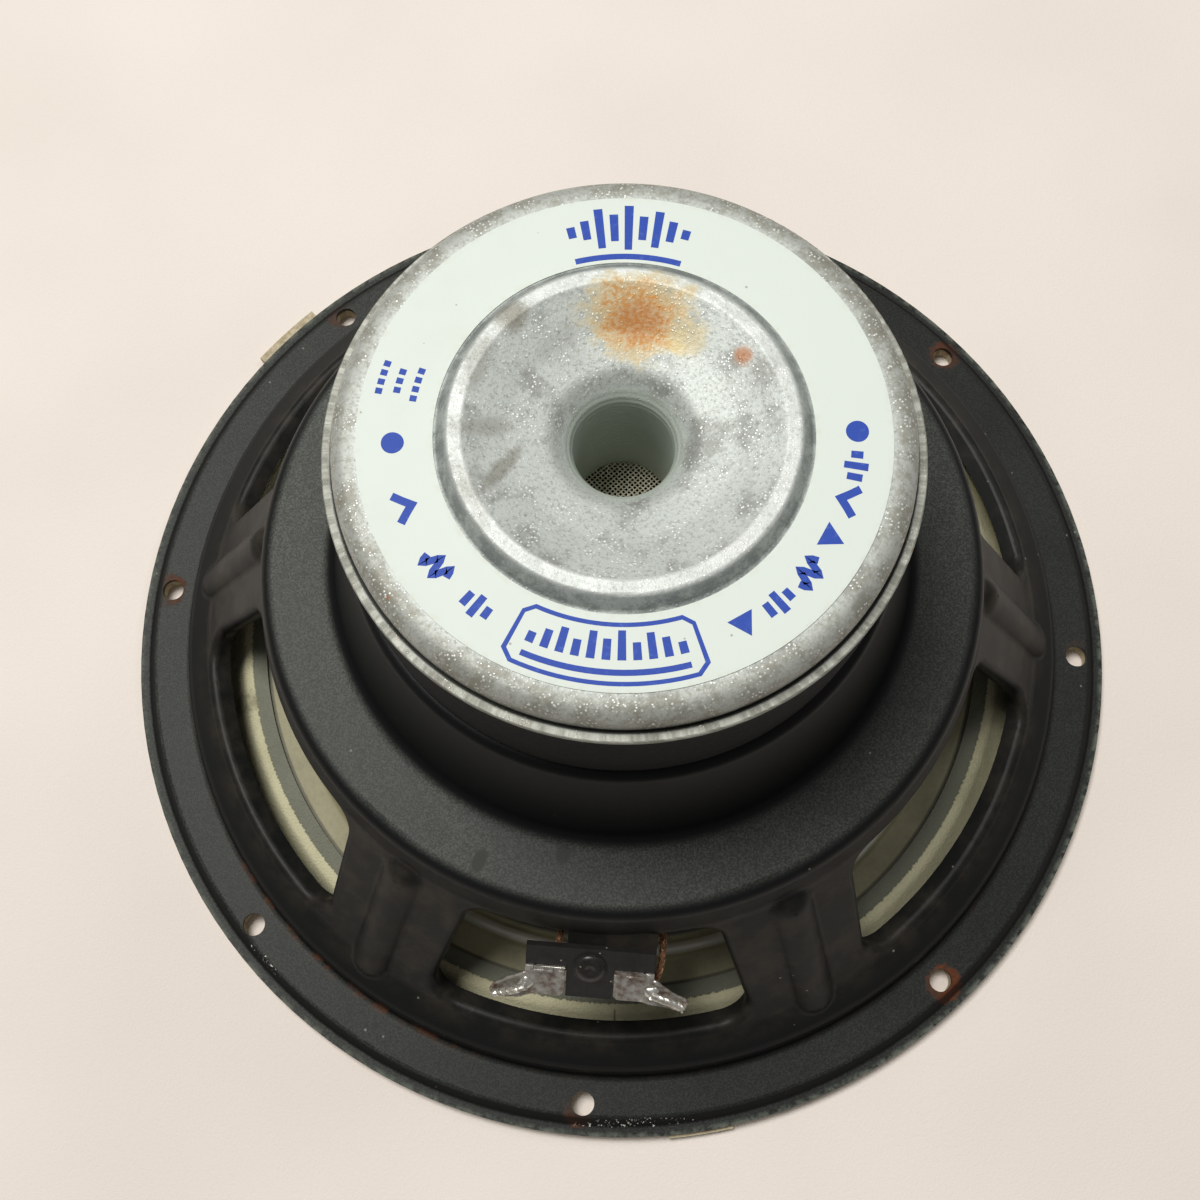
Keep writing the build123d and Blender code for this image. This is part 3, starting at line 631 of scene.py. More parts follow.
@dataclass(frozen=True)
class SurroundFoam:
    """Khaki foam, with the dark ragged band of glue where it lies on the cone."""

    foam: Colour = tint(206, 202, 168)
    shade: Colour = tint(178, 174, 142)
    glued: Colour = tint(118, 120, 103)
    torn: Colour = tint(66, 58, 40)
    glued_dark: Colour = tint(98, 100, 86)
    seam: Colour = tint(40, 36, 28)
    glue_edge: float = 98.1

    def material(self) -> bpy.types.Material:
        """Builds the foam."""
        graph = Graph("surround_foam")
        place = Place(graph)
        pores = graph.cells(place.point, 0.55)
        cloud = graph.noise(place.point, 12.0, 4.0, 0.6)
        turn = place.azimuth * (math.radians(1.0) * self.glue_edge)
        teeth = graph.node(
            "ShaderNodeTexNoise", {"noise_dimensions": "1D"},
            {"W": turn, "Scale": 0.9, "Detail": 4.0, "Roughness": 0.8})
        edge = (place.radius + teeth * 1.5).ramp(self.glue_edge + 0.95, self.glue_edge + 0.55)
        glued = edge * place.z.ramp(3.4, 4.6)
        wobble = (graph.noise(place.point, 2.6, 4.0, 0.7) - 0.5) * 1.4
        tear = (place.oval(101.0, -163.0, 4.6, 4.0) + wobble).ramp(1.0, 0.5)
        torn = graph.blend(self.torn, self.foam, graph.noise(place.point, 1.3, 3.0))
        seam = (place.azimuth + 86.5).band(-0.12, 0.12, 0.1) * place.radius.ramp(99.0, 100.0)
        colour = graph.coats(
            self.foam, (self.shade, cloud.ramp(0.4, 0.7) * 0.6 + pores.ramp(0.2, 0.7) * 0.3),
            (graph.blend(self.glued, self.glued_dark, cloud), glued), (torn, tear * 0.8),
            (self.seam, seam * 0.7))
        rough = graph.choose(0.85, 0.55, glued)
        bump = pores + glued * 1.5 + cloud + tear * 2.0
        return graph.finish(colour, rough, bump, 0.12, Specular_IOR_Level=0.3)


@dataclass(frozen=True)
class WovenCloth:
    """Resin-dipped cotton of the spider, woven at a named pitch in millimetres."""

    cloth: Colour = tint(186, 150, 92)
    gap: Colour = tint(96, 70, 36)
    pitch: float = 0.7

    def material(self) -> bpy.types.Material:
        """Builds the weave."""
        graph = Graph("spider_cloth")
        place = Place(graph)
        threads = 2 * math.pi / self.pitch
        weave = (place.x * threads).sine() * (place.y * threads).sine() * 0.5 + 0.5
        cloud = graph.noise(place.point, 9.0, 3.0)
        colour = graph.blend(self.gap, self.cloth, weave.ramp(0.1, 0.7) * 0.8 + cloud * 0.2)
        return graph.finish(colour, 0.6 + 0.2 * cloud, weave, 0.12)


# ---- Meshes ----------------------------------------------------------------------------
def polar(radius: float, degrees: float, height: float = 0.0) -> Vector:
    """Point at a radius and azimuth about the axis."""
    angle = math.radians(degrees)
    return Vector((radius * math.cos(angle), radius * math.sin(angle), height))


def carried(path: Sequence[Vector]) -> list[tuple[Vector, Vector, Vector]]:
    """Each point of a path with two square directions, carried along it without twist."""
    side = (path[1] - path[0]).orthogonal().normalized()
    frames = []
    for k, point in enumerate(path):
        ahead = (path[min(k + 1, len(path) - 1)] - path[max(k - 1, 0)]).normalized()
        side = (side - ahead * side.dot(ahead)).normalized()
        frames.append((point, side, ahead.cross(side)))
    return frames


def ring(frame_at: tuple[Vector, Vector, Vector], radius: float, turn: float) -> Vector:
    """Point at a radius and turn in radians about a carried point."""
    point, side, other = frame_at
    return point + radius * (math.cos(turn) * side + math.sin(turn) * other)


class Shape:
    """Vertices and faces of one piece, gathered in millimetres."""

    def __init__(self) -> None:
        """Starts empty."""
        self.points: list[Vector] = []
        self.faces: list[tuple[int, ...]] = []

    def grid(self, rows: Sequence[Sequence[Vector]], around: bool = False, loop: bool = False) -> None:
        """Skins rows of equally many points.

        Args:
            rows: the rows in order.
            around: closes each row on itself.
            loop: joins the last row to the first.
        """
        first, wide, count = len(self.points), len(rows[0]), len(rows)
        for row in rows:
            self.points.extend(Vector(p) for p in row)
        for i in range(count if loop else count - 1):
            a, b = first + i * wide, first + (i + 1) % count * wide
            for j in range(wide if around else wide - 1):
                k = (j + 1) % wide
                self.faces.append((a + j, a + k, b + k, b + j))

    def cap(self, row: Sequence[Vector]) -> None:
        """Closes an end with one face."""
        first = len(self.points)
        self.points.extend(Vector(p) for p in row)
        self.faces.append(tuple(range(first, first + len(row))))

    def closed(self, rows: Sequence[Sequence[Vector]]) -> None:
        """Skins rows of closed rings and caps the first and the last."""
        self.grid(rows, around=True)
        self.cap(rows[0][::-1])
        self.cap(rows[-1])

    def tube(self, path: Sequence[Vector], radius: float, sides: int = 6) -> None:
        """Round closed tube along a path.

        Args:
            path: points of its middle line.
            radius: of the tube.
            sides: points in each ring.
        """
        turns = [2 * math.pi * j / sides for j in range(sides)]
        self.closed([[ring(spot, radius, t) for t in turns] for spot in carried(path)])

    def lathe(self, profile: Sequence[tuple[float, float]], steps: int = 96, first: float = 0.0,
              span: float = 360.0, loop: bool = False) -> None:
        """Turns (radius, height) points about Z.

        Args:
            profile: the points.
            steps: points round the full or part turn.
            first: azimuth where it starts.
            span: degrees of the turn.
            loop: joins the profile's last point to its first.
        """
        whole = abs(span) >= 360.0
        places = steps if whole else steps + 1
        rows = [[polar(r, first + span * k / steps, z) for k in range(places)] for r, z in profile]
        self.grid(rows, around=whole, loop=loop)

    def prism(self, outline: Sequence[tuple[float, float]], low: float, high: float,
              place: Callable[[float, float, float], Vector]) -> None:
        """Solid between two copies of an outline.

        Args:
            outline: corners, anticlockwise.
            low: third coordinate of the first copy.
            high: third coordinate of the second copy.
            place: turns the three coordinates into a point.
        """
        self.closed([[place(x, y, height) for x, y in outline] for height in (low, high)])

    def build(self, name: str, material: bpy.types.Material, transform: Matrix = Matrix.Identity(4),
              smooth: bool = True) -> bpy.types.Object:
        """Makes the object, with its points in metres.

        Args:
            name: of the object.
            material: its finish.
            transform: from the shape's own millimetres to the speaker's.
            smooth: shades it smooth, with sharp edges kept.

        Returns:
            The object, linked to the scene.
        """
        mesh = bpy.data.meshes.new(name)
        mesh.from_pydata([transform @ p * MM for p in self.points], [], self.faces)
        work = bmesh.new()
        work.from_mesh(mesh)
        bmesh.ops.remove_doubles(work, verts=work.verts, dist=1e-6)
        bmesh.ops.recalc_face_normals(work, faces=work.faces)
        work.to_mesh(mesh)
        work.free()
        if smooth:
            mesh.shade_smooth()
            mesh.set_sharp_from_angle(angle=math.radians(40.0))
        mesh.materials.append(material)
        made = bpy.data.objects.new(name, mesh)
        bpy.context.scene.collection.objects.link(made)
        return made


class Body(Enum):
    """The two bodies of the speaker."""

    FRAME = "frame"
    MOVING = "moving_assembly"


def settle(piece: bpy.types.Object, slot: str, *nodes: str) -> None:
    """Fixes a piece to the frame, in place of solid nodes.

    Args:
        piece: the object.
        slot: not used.
        nodes: solid nodes it stands for.
    """
    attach(piece, Body.FRAME.value)
    if nodes:
        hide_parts(*nodes)
    LOG.info("%s: %d faces on %s", piece.name, len(piece.data.polygons), Body.FRAME.value)


def flex(piece: bpy.types.Object, node: str) -> None:
    """Bakes a soft piece's placement into its points, in place of a solid node.

    Args:
        piece: the object.
        node: solid node it stands for.
    """
    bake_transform(piece)
    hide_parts(node)
    LOG.info("%s: %d faces bent between the bodies", piece.name, len(piece.data.polygons))


def dress(node: str, material: bpy.types.Material) -> None:
    """Gives a solid node its finish."""
    shown = NODES[node]
    for piece in [shown, *shown.children_recursive]:
        if piece.type == "MESH":
            piece.data.materials.clear()
            piece.data.materials.append(material)
    LOG.info("%s: dressed with %s", node, material.name)


def dress_all(finishes: Sequence[tuple[Plain, Sequence[str]]]) -> None:
    """Gives each plain finish to its nodes."""
    for finish, nodes in finishes:
        material = finish.material()
        for node in nodes:
            dress(node, material)


# ---- Chassis ---------------------------------------------------------------------------
@dataclass(frozen=True)
class Chassis:
    """Basket, its rivets, the gasket and the motor's plain rings."""

    plain: tuple[tuple[Plain, tuple[str, ...]], ...] = (
        (Plain("rivet_steel", tint(150, 152, 148), tint(96, 94, 88), rough=0.4, metal=0.7),
         ("basket_rivets",)),
        (Plain("plate_black", tint(14, 17, 18), tint(10, 12, 13), specks=0.05, shine=0.12), ("front_plate",)),
        (Plain("ferrite_black", tint(13, 17, 19), tint(9, 12, 13), 1.4, 0.52, specks=0.04, shine=0.12),
         ("ferrite_magnet",)),
        (Plain("gasket_board", tint(196, 184, 156), tint(150, 136, 108), 1.2, 0.9, depth=0.12,
               fibres=(1.0, 1.0, 0.3)), tuple(f"gasket_piece_{k + 1}" for k in range(4))))

    def build(self) -> None:
        """Dresses the solid nodes."""
        dress("basket", BlackPaint().material())
        dress_all(self.plain)


# ---- Motor back ------------------------------------------------------------------------
@dataclass(frozen=True)
class VentScreen:
    """Woven wire screen across the front of the vent."""

    radius: float = 11.9
    pitch: float = 0.8
    wire: float = 0.15
    level: float = 91.3
    step: float = 0.2
    lay: float = 45.0
    sides: int = 5

    def wires(self) -> Shape:
        """Both sets of wires, each over and under the other."""
        shape = Shape()
        turn = Matrix.Rotation(math.radians(self.lay), 4, "Z")
        count = int(self.radius / self.pitch)
        for across in (False, True):
            for k in range(-count, count + 1):
                offset = k * self.pitch
                half = math.sqrt(self.radius ** 2 - offset ** 2)
                if half < self.pitch:
                    continue
                points = []
                for j in range(int(2 * half / self.step) + 1):
                    run = j * self.step - half
                    phase = math.pi * (run / self.pitch + k + (1 if across else 0))
                    height = self.level + self.wire * math.cos(phase)
                    flat = (offset, run, height) if across else (run, offset, height)
                    points.append(turn @ Vector(flat))
                shape.tube(points, self.wire, self.sides)
        return shape

    def build(self) -> None:
        """Makes the screen."""
        wire = Plain("screen_wire", tint(238, 234, 214), tint(196, 188, 162), 0.8, 0.45, metal=0.15)
        settle(self.wires().build("vent_screen_woven", wire.material()), "screen_steel", "vent_screen")


class Mark(Enum):
    """The small marks down the label's sides."""

    DISC = "disc"
    HOOK = "hook"
    WAVE = "wave"
    BARS = "bars"
    PEAK = "peak"


@dataclass(frozen=True)
class LabelPrint:
    """Abstract marks printed on the back label, with no lettering."""

    level: float = 127.8
    thick: float = 0.03
    longest: float = 1.5
    left_radius: float = 42.2
    left: tuple[tuple[float, Mark], ...] = (
        (-172.5, Mark.DISC), (-155.0, Mark.HOOK), (-137.5, Mark.WAVE), (-123.5, Mark.BARS))
    right_radius: float = 42.4
    right: tuple[tuple[float, Mark], ...] = (
        (-56.0, Mark.PEAK), (-46.0, Mark.BARS), (-35.6, Mark.WAVE), (-25.0, Mark.PEAK), (-14.4, Mark.HOOK),
        (-5.0, Mark.BARS), (4.2, Mark.DISC))

    def bent(self, azimuth: float, radius: float) -> Callable[[float, float, float], Vector]:
        """Place on the label for a mark's own millimetres, along the arc and outwards."""
        return lambda along, out, height: polar(radius + out, azimuth + math.degrees(along / radius), height)

    def slab(self, shape: Shape, place: Callable, outline: Sequence[Corner]) -> None:
        """Flat patch of ink inside an outline."""
        shape.prism(outline, self.level, self.level + self.thick, place)

    def bar(self, shape: Shape, place: Callable, a: Corner, b: Corner, wide: float) -> None:
        """Straight stroke between two points.

        Args:
            shape: shape it's added to.
            place: where the mark is.
            a: start.
            b: end.
            wide: its width.
        """
        run = Vector((b[0] - a[0], b[1] - a[1]))
        side = Vector((-run.y, run.x)).normalized() * wide / 2
        steps = max(1, int(run.length / self.longest))
        for k in range(steps):
            p = Vector(a) + run * (k / steps)
            q = Vector(a) + run * ((k + 1) / steps)
            self.slab(shape, place, [tuple(p - side), tuple(q - side), tuple(q + side), tuple(p + side)])

    def level_bars(self, shape: Shape, place: Callable, spans: Sequence[Corner], pitch: float,
                   wide: float) -> None:
        """Row of upright bars, centred on the place.

        Args:
            shape: shape it's added to.
            place: where the row is.
            spans: foot and top of each bar.
            pitch: from bar to bar.
            wide: width of a bar.
        """
        for k, (foot, top) in enumerate(spans):
            x = (k - (len(spans) - 1) / 2) * pitch
            self.bar(shape, place, (x, foot), (x, top), wide)

    def stroke(self, shape: Shape, place: Callable, path: Sequence[Corner], wide: float,
               closed: bool = False) -> None:
        """Mitred line through points.

        Args:
            shape: shape it's added to.
            place: where the mark is.
            path: the points.
            wide: width of the line.
            closed: joins the last point to the first.
        """
        ends = [Vector(p) for p in ([*path, path[0]] if closed else path)]
        points = []
        for a, b in zip(ends, ends[1:]):
            steps = max(1, int((b - a).length / self.longest))
            points.extend(a.lerp(b, k / steps) for k in range(steps))
        if not closed:
            points.append(ends[-1])
        count = len(points)
        rows = []
        for k, point in enumerate(points):
            before = points[k - 1] if closed or k else point
            after = points[(k + 1) % count] if closed or k < count - 1 else point
            first = (point - before).normalized() if point != before else (after - point).normalized()
            second = (after - point).normalized() if point != after else first
            normal = Vector((-(first + second).y, (first + second).x)).normalized()
            reach = wide / 2 / max(0.5, normal.dot(Vector((-first.y, first.x))))
            inner, outer = point - normal * reach, point + normal * reach
            low, high = self.level, self.level + self.thick
            section = ((inner, low), (outer, low), (outer, high), (inner, high))
            rows.append([place(edge.x, edge.y, height) for edge, height in section])
        if closed:
            shape.grid(rows, around=True, loop=True)
        else:
            shape.closed(rows)

    def glyph(self, shape: Shape, place: Callable, mark: Mark) -> None:
        """One small mark.

        Args:
            shape: shape it's added to.
            place: where the mark is.
            mark: which mark.
        """
        if mark is Mark.DISC:
            turns = [math.radians(360.0 * k / 28) for k in range(28)]
            self.slab(shape, place, [(2.1 * math.cos(t), 2.1 * math.sin(t)) for t in turns])
        elif mark is Mark.HOOK:
            self.stroke(shape, place, [(-2.7, 1.5), (0.0, -1.5), (2.7, 1.5)], 1.5)
        elif mark is Mark.WAVE:
            path = [(-2.8 + 0.35 * k, 1.5 * math.sin(0.35 * k * 2.24)) for k in range(17)]
            self.stroke(shape, place, path, 1.35)
        elif mark is Mark.BARS:
            self.level_bars(shape, place, [(-tall, tall) for tall in (1.4, 2.2, 1.1)], 2.2, 1.4)
        else:
            self.slab(shape, place, [(-2.6, -1.9), (2.6, -1.9), (0.0, 2.2)])

    def emblem(self, shape: Shape) -> None:
        """Bars of a sound level over an arc line, at the top of the label."""
        place = self.bent(93.0, 41.6)
        heights = (1.2, 2.6, 4.6, 3.0, 5.6, 3.4, 5.0, 2.4, 1.4)
        spans = [(0.9 - tall * 0.86, 0.9 + tall * 0.86) for tall in heights]
        self.level_bars(shape, place, spans, 2.7, 1.55)
        self.stroke(shape, place, [(-11.6, -5.4), (11.6, -5.4)], 1.2)

    def plaque(self, shape: Shape) -> None:
        """Outlined plaque with level bars over a line, at the bottom of the label."""
        place = self.bent(-90.0, 42.0)
        corners = [
            (-15.0, -5.2), (14.8, -5.2), (16.6, -3.6), (16.6, 3.8), (14.8, 5.4), (-15.0, 5.4), (-16.8, 3.8),
            (-16.8, -3.6)]
        self.stroke(shape, place, corners, 0.8, closed=True)
        heights = (2.0, 3.4, 4.6, 3.0, 5.0, 3.8, 5.4, 3.2, 4.8, 3.6, 2.2)
        self.level_bars(shape, place, [(1.2 - tall, 1.2) for tall in heights], 2.7, 1.5)
        self.stroke(shape, place, [(-14.0, 3.4), (14.0, 3.4)], 1.1)

    def rows(self, shape: Shape) -> None:
        """Three rows of short dashes beside the emblem."""
        for out, count in ((3.3, 4), (0.0, 3), (-3.3, 4)):
            place = self.bent(170.6, 42.6 + out)
            for k in range(count):
                x = (k - (count - 1) / 2) * 1.9
                self.bar(shape, place, (x - 0.6, 0.0), (x + 0.6, 0.0), 1.3)

    def build(self) -> None:
        """Makes the print on the dressed label."""
        dress("rear_label", LabelFilm().material())
        shape = Shape()
        for marks, radius in ((self.left, self.left_radius), (self.right, self.right_radius)):
            for azimuth, mark in marks:
                self.glyph(shape, self.bent(azimuth, radius), mark)
        self.emblem(shape)
        self.plaque(shape)
        self.rows(shape)
        settle(shape.build("label_print", BlueInk().material(), smooth=False), "label_film")


@dataclass(frozen=True)
class MotorBack:
    """Yoke, screen and label."""

    screen: VentScreen = VentScreen()
    label: LabelPrint = LabelPrint()

    def build(self) -> None:
        """Builds the group."""
        dress("pole_yoke", ZincForging().material())
        self.screen.build()
        self.label.build()


# ---- Suspension ------------------------------------------------------------------------
def rounded(corners: Sequence[Point], steps: int = 5) -> list[Corner]:
    """Line through corners, each rounded by its own radius.

    Args:
        corners: radius from the axis, height and rounding of each corner.
        steps: points on each rounding.

    Returns:
        The points.
    """
    line: list[Corner] = []
    for k, (r, z, bend) in enumerate(corners):
        here = Vector((r, z))
        if k in (0, len(corners) - 1) or not bend:
            line.append((r, z))
            continue
        before = (Vector(corners[k - 1][:2]) - here).normalized()
        after = (Vector(corners[k + 1][:2]) - here).normalized()
        half = before.angle(after) / 2
        centre = here + (before + after).normalized() * (bend / math.sin(half))
        a = here + before * (bend / math.tan(half)) - centre
        b = here + after * (bend / math.tan(half)) - centre
        swing = a.angle_signed(b)
        for j in range(steps + 1):
            turn = -swing * j / steps
            point = centre + Matrix.Rotation(turn, 2) @ a
            line.append((point.x, point.y))
    return line


def walled(line: Sequence[Corner], wall: float) -> list[Corner]:
    """Closed section of a sheet that lies in front of a line, from the rim inwards."""
    front = []
    for k, (r, z) in enumerate(line):
        a = Vector(line[max(k - 1, 0)])
        b = Vector(line[min(k + 1, len(line) - 1)])
        run = (b - a).normalized()
        front.append((r - run.y * wall, z + run.x * wall))
    return [*line, *front[::-1]]


@dataclass(frozen=True)
class Suspension:
    """Foam surround and cloth spider."""

    land: float = 4.0
    edge: float = 6.9
    apex: float = 2.0
    seam: float = 106.7
    wall: float = 0.8
    foam_steps: int = 300
    foam_bend: Corner = (2.2, 6.1)
    cloth_wall: float = 0.6
    cloth_level: float = 62.8
    cloth_depth: float = 3.0
    cloth_round: float = 1.1
    cloth_bend: Corner = (68.0, 29.5)
    cloth_edge: float = 77.5
    collar: float = 25.9
    first_roll: float = 29.5
    last_roll: float = 70.5
    rolls: int = 6
    sectors: int = 12

    def foam(self, name: str, finish: bpy.types.Material, line: Sequence[Corner]) -> bpy.types.Object:
        """Ring of foam behind a line, from the rim inwards."""
        shape = Shape()
        shape.lathe(walled(line, self.wall), self.foam_steps, loop=True)
        return shape.build(name, finish)

    def surround(self) -> None:
        """Outer half of the roll on the basket and inner half."""
        finish = SurroundFoam().material()
        seam = (self.seam, self.apex, 0)
        outer = rounded([(118.0, self.land, 0), (113.2, self.land, 1.5), (109.8, self.apex, 3.0), seam])
        settle(self.foam("surround_outer", finish, outer), "surround_foam", "surround")
        inner = rounded([seam, (105.4, self.apex, 4.0), (100.2, self.edge, 3.0), (94.4, self.edge, 0)], 8)
        flex(self.foam("surround_inner", finish, inner), "surround")

    def spider(self) -> None:
        """Corrugated cloth in sectors."""
        finish = WovenCloth().material()
        pitch = (self.last_roll - self.first_roll) / (2 * self.rolls)
        corners = [(self.cloth_edge, self.cloth_level, 0)]
        for k in range(2 * self.rolls):
            level = self.cloth_level - self.cloth_depth * (k % 2)
            corners.append((self.last_roll - k * pitch, level, self.cloth_round))
        middle = self.cloth_level - self.cloth_depth / 2
        corners += [(self.first_roll, middle, self.cloth_round), (self.collar, middle, 0)]
        section = walled(rounded(corners, 3), self.cloth_wall)
        span = 360.0 / self.sectors
        for k in range(self.sectors):
            shape = Shape()
            shape.lathe(section, 12, k * span, span, loop=True)
            piece = shape.build(f"spider_sector_{k + 1:02d}", finish)
            start, end = (polar(radius * MM, (k + 0.5) * span) for radius in self.cloth_bend)
            flex(piece, "spider")

    def build(self) -> None:
        """Makes both."""
        self.surround()
        self.spider()


# ---- Moving assembly -------------------------------------------------------------------
@dataclass(frozen=True)
class MovingAssembly:
    """Cone, cap, coil and their glue."""

    plain: tuple[tuple[Plain, tuple[str, ...]], ...] = (
        (Plain("cap_paper", tint(40, 40, 42), tint(26, 26, 28), 1.4, 0.6, depth=0.06), ("dust_cap",)),
        (Plain("former_foil", tint(206, 208, 204), tint(170, 170, 164), 2.0, 0.3, metal=0.9,
               fibres=(1.0, 1.0, 0.2)), ("voice_coil_former",)),
        (Plain("copper_wire", tint(190, 108, 62), tint(140, 70, 38), 1.0, 0.35, metal=0.8,
               fibres=(0.1, 0.1, 3.0)), ("voice_coil_winding",)),
        (Plain("collar_paper", tint(176, 150, 108), tint(150, 122, 82), 1.2, 0.8), ("former_collar",)),
        (Plain("black_glue", tint(30, 30, 30), tint(22, 22, 22), 1.8, 0.3, depth=0.15),
         ("cone_neck_glue", "dust_cap_glue", "lead_pad_left", "lead_pad_right")))

    def build(self) -> None:
        """Dresses the solid nodes."""
        dress("cone", ConePaper().material())
        dress_all(self.plain)


# ---- Terminal --------------------------------------------------------------------------
@dataclass(frozen=True)
class TerminalSizes:
    """Sizes the terminal's pieces share."""

    origin: Point = (0.0, -90.475, 47.486)
    tilt: float = 40.0
    board_half: float = 14.1
    board: float = 1.6
    tab: float = 1.2
    lug: float = 0.6
    plate_in: float = 5.4
    plate_low: float = -7.6
    plate_high: float = -0.2
    tail_x: float = 13.5
    tail_y: float = -4.9
    tail_turn: float = 27.0
    tail_drop: float = 8.0
    tail_length: float = 9.2
    tail_wall: float = 0.5
    lug_edge: float = 0.12

    def frame(self) -> Matrix:
        """From the board's own millimetres to the speaker's."""
        return Matrix.Translation(self.origin) @ Matrix.Rotation(math.radians(self.tilt), 4, "X")

    def tail(self, side: int) -> Matrix:
        """From a tail's own millimetres to the speaker's."""
        turn = -self.tail_turn if side > 0 else 180.0 + self.tail_turn
        place = Matrix.Translation((side * self.tail_x, self.tail_y, self.board))
        aside = Matrix.Rotation(math.radians(turn), 4, "Z")
        return self.frame() @ place @ aside @ Matrix.Rotation(math.radians(self.tail_drop), 4, "Y")


class Terminal:
    """Board, rivet, two lugs, their solder and wire ends."""

    def __init__(self, sizes: TerminalSizes) -> None:
        """Keeps the sizes and makes the finishes."""
        self.sizes = sizes
        lug_light, lug_soiled = tint(196, 195, 188), tint(112, 90, 74)
        self.tin = Plain("tinned_lug", lug_light, lug_soiled, 1.5, 0.30, metal=0.7, depth=0.06)
        self.wire = Plain("tinned_wire", tint(214, 212, 204), tint(150, 144, 132), 0.8, 0.34, metal=0.8)
        bright, grey = tint(204, 204, 198), tint(160, 158, 150)
        self.solder = Plain("solder", bright, grey, 1.6, 0.28, metal=0.8, depth=0.05)
        self.dark = Plain("rivet_dark", tint(46, 44, 42), tint(30, 29, 28), 1.0, 0.32, metal=0.4, specks=0.10)
        self.chance = random.Random(7)

    def rivet(self) -> None:
        """Rivet with a domed, dimpled head on the board and its closed end behind the tongue."""
        s = self.sizes
        head = (
            (0.0, 0.72), (0.35, 0.74), (0.7, 0.9), (1.1, 1.12), (1.6, 1.2), (2.3, 1.1), (2.9, 0.86),
            (3.25, 0.6), (3.35, 0.42), (3.5, 0.4), (3.72, 0.3), (3.75, 0.15), (3.72, 0.0), (1.8, 0.0))
        foot = ((1.8, 0.0), (2.7, 0.0), (2.7, 0.9), (2.3, 1.2), (0.0, 1.2))
        shape = Shape()
        shape.lathe([(r, s.board + rise) for r, rise in head] + [(r, -s.tab - drop) for r, drop in foot], 48)
        piece = shape.build("terminal_rivet_domed", self.dark.material(), s.frame())
        settle(piece, "rivet_dark", "terminal_rivet")

    def lug(self, side: int, name: str) -> None:
        """Lug with two standing ears, notched plate and ragged splayed tail.

        Args:
            side: 1 for +X.
            name: left or right.
        """
        s = self.sizes
        low, high, inner, outer = s.plate_low, s.plate_high, s.plate_in, s.board_half
        over = s.board + s.lug
        corner = 0.9
        outline = [
            (inner, low + corner), (inner + corner, low), (outer - corner, low), (outer, low + corner),
            (outer, high), (inner + 6.9, high), (inner + 6.9, high - 0.9), (inner + 6.3, high - 0.9),
            (inner + 6.3, high), (inner, high)]
        path = [(side * x, y) for x, y in outline]
        shape = Shape()
        shape.prism(path if side > 0 else path[::-1], s.board, over, lambda x, y, z: Vector((x, y, z)))
        for start, wide, tall in ((0.0, 1.2, 1.0), (2.6, 4.2, 1.1)):
            self.ear(shape, (side * (inner + start), side * (inner + start + wide)), tall)
        piece = shape.build(f"lug_plate_{name}", self.tin.material(), s.frame())
        bevel = piece.modifiers.new("edge", "BEVEL")
        bevel.width = s.lug_edge * MM
        bevel.segments = 2
        settle(piece, "tinned_lug", f"terminal_lug_{name}")
        self.blade(side, name)

    def ear(self, shape: Shape, ends: Corner, tall: float) -> None:
        """Ear that curls up from the lug's back edge.

        Args:
            shape: shape it's added to.
            ends: its two ends across the board.
            tall: its height over the lug.
        """
        s = self.sizes
        over, thick, curl, foot = s.board + s.lug, 0.5, 0.124, 0.3
        rows = []
        for k in range(6):
            turn = math.radians(18.0 * k)
            height = over + tall * math.sin(turn)
            back = s.plate_high - curl * (1 - math.cos(turn))
            corners = ((ends[0], back), (ends[1], back), (ends[1], back - thick), (ends[0], back - thick))
            rows.append([Vector((*corner, height)) for corner in corners])
        rows.insert(0, [p - Vector((0, 0, foot)) for p in rows[0]])
        shape.closed(rows)

    def blade(self, side: int, name: str) -> None:
        """Splayed tail, dished along its length and torn at its end.

        Args:
            side: 1 for +X.
            name: left or right.
        """
        s = self.sizes
        along, across, under_plate = 15, 9, 1.0
        rows = []
        for i in range(along):
            run = i / (along - 1)
            x = run * (s.tail_length + under_plate) - under_plate
            half = 3.1 - 1.35 * run + 0.25 * math.sin(run * 6.0 + side) - 0.8 * max(0.0, run - 0.86) / 0.14
            sag = -0.28 * math.sin(math.pi * run)
            row = []
            for j in range(across):
                v = 2 * j / (across - 1) - 1
                edge = abs(v) ** 3
                curl = 0.55 * edge * math.sin(math.pi * min(1.0, run * 1.15))
                ragged = self.chance.uniform(-0.12, 0.12) * edge
                row.append(Vector((x + 0.3 * ragged, v * half + ragged, s.lug / 2 + curl + sag * (1 - edge))))
            rows.append(row)
        shape = Shape()
        shape.grid(rows)
        piece = shape.build(f"lug_tail_{name}", self.tin.material(), s.tail(side))
        wall = piece.modifiers.new("wall", "SOLIDIFY")
        wall.thickness = s.tail_wall * MM
        wall.offset = 0.0
        settle(piece, "tinned_lug", f"terminal_lug_{name}")

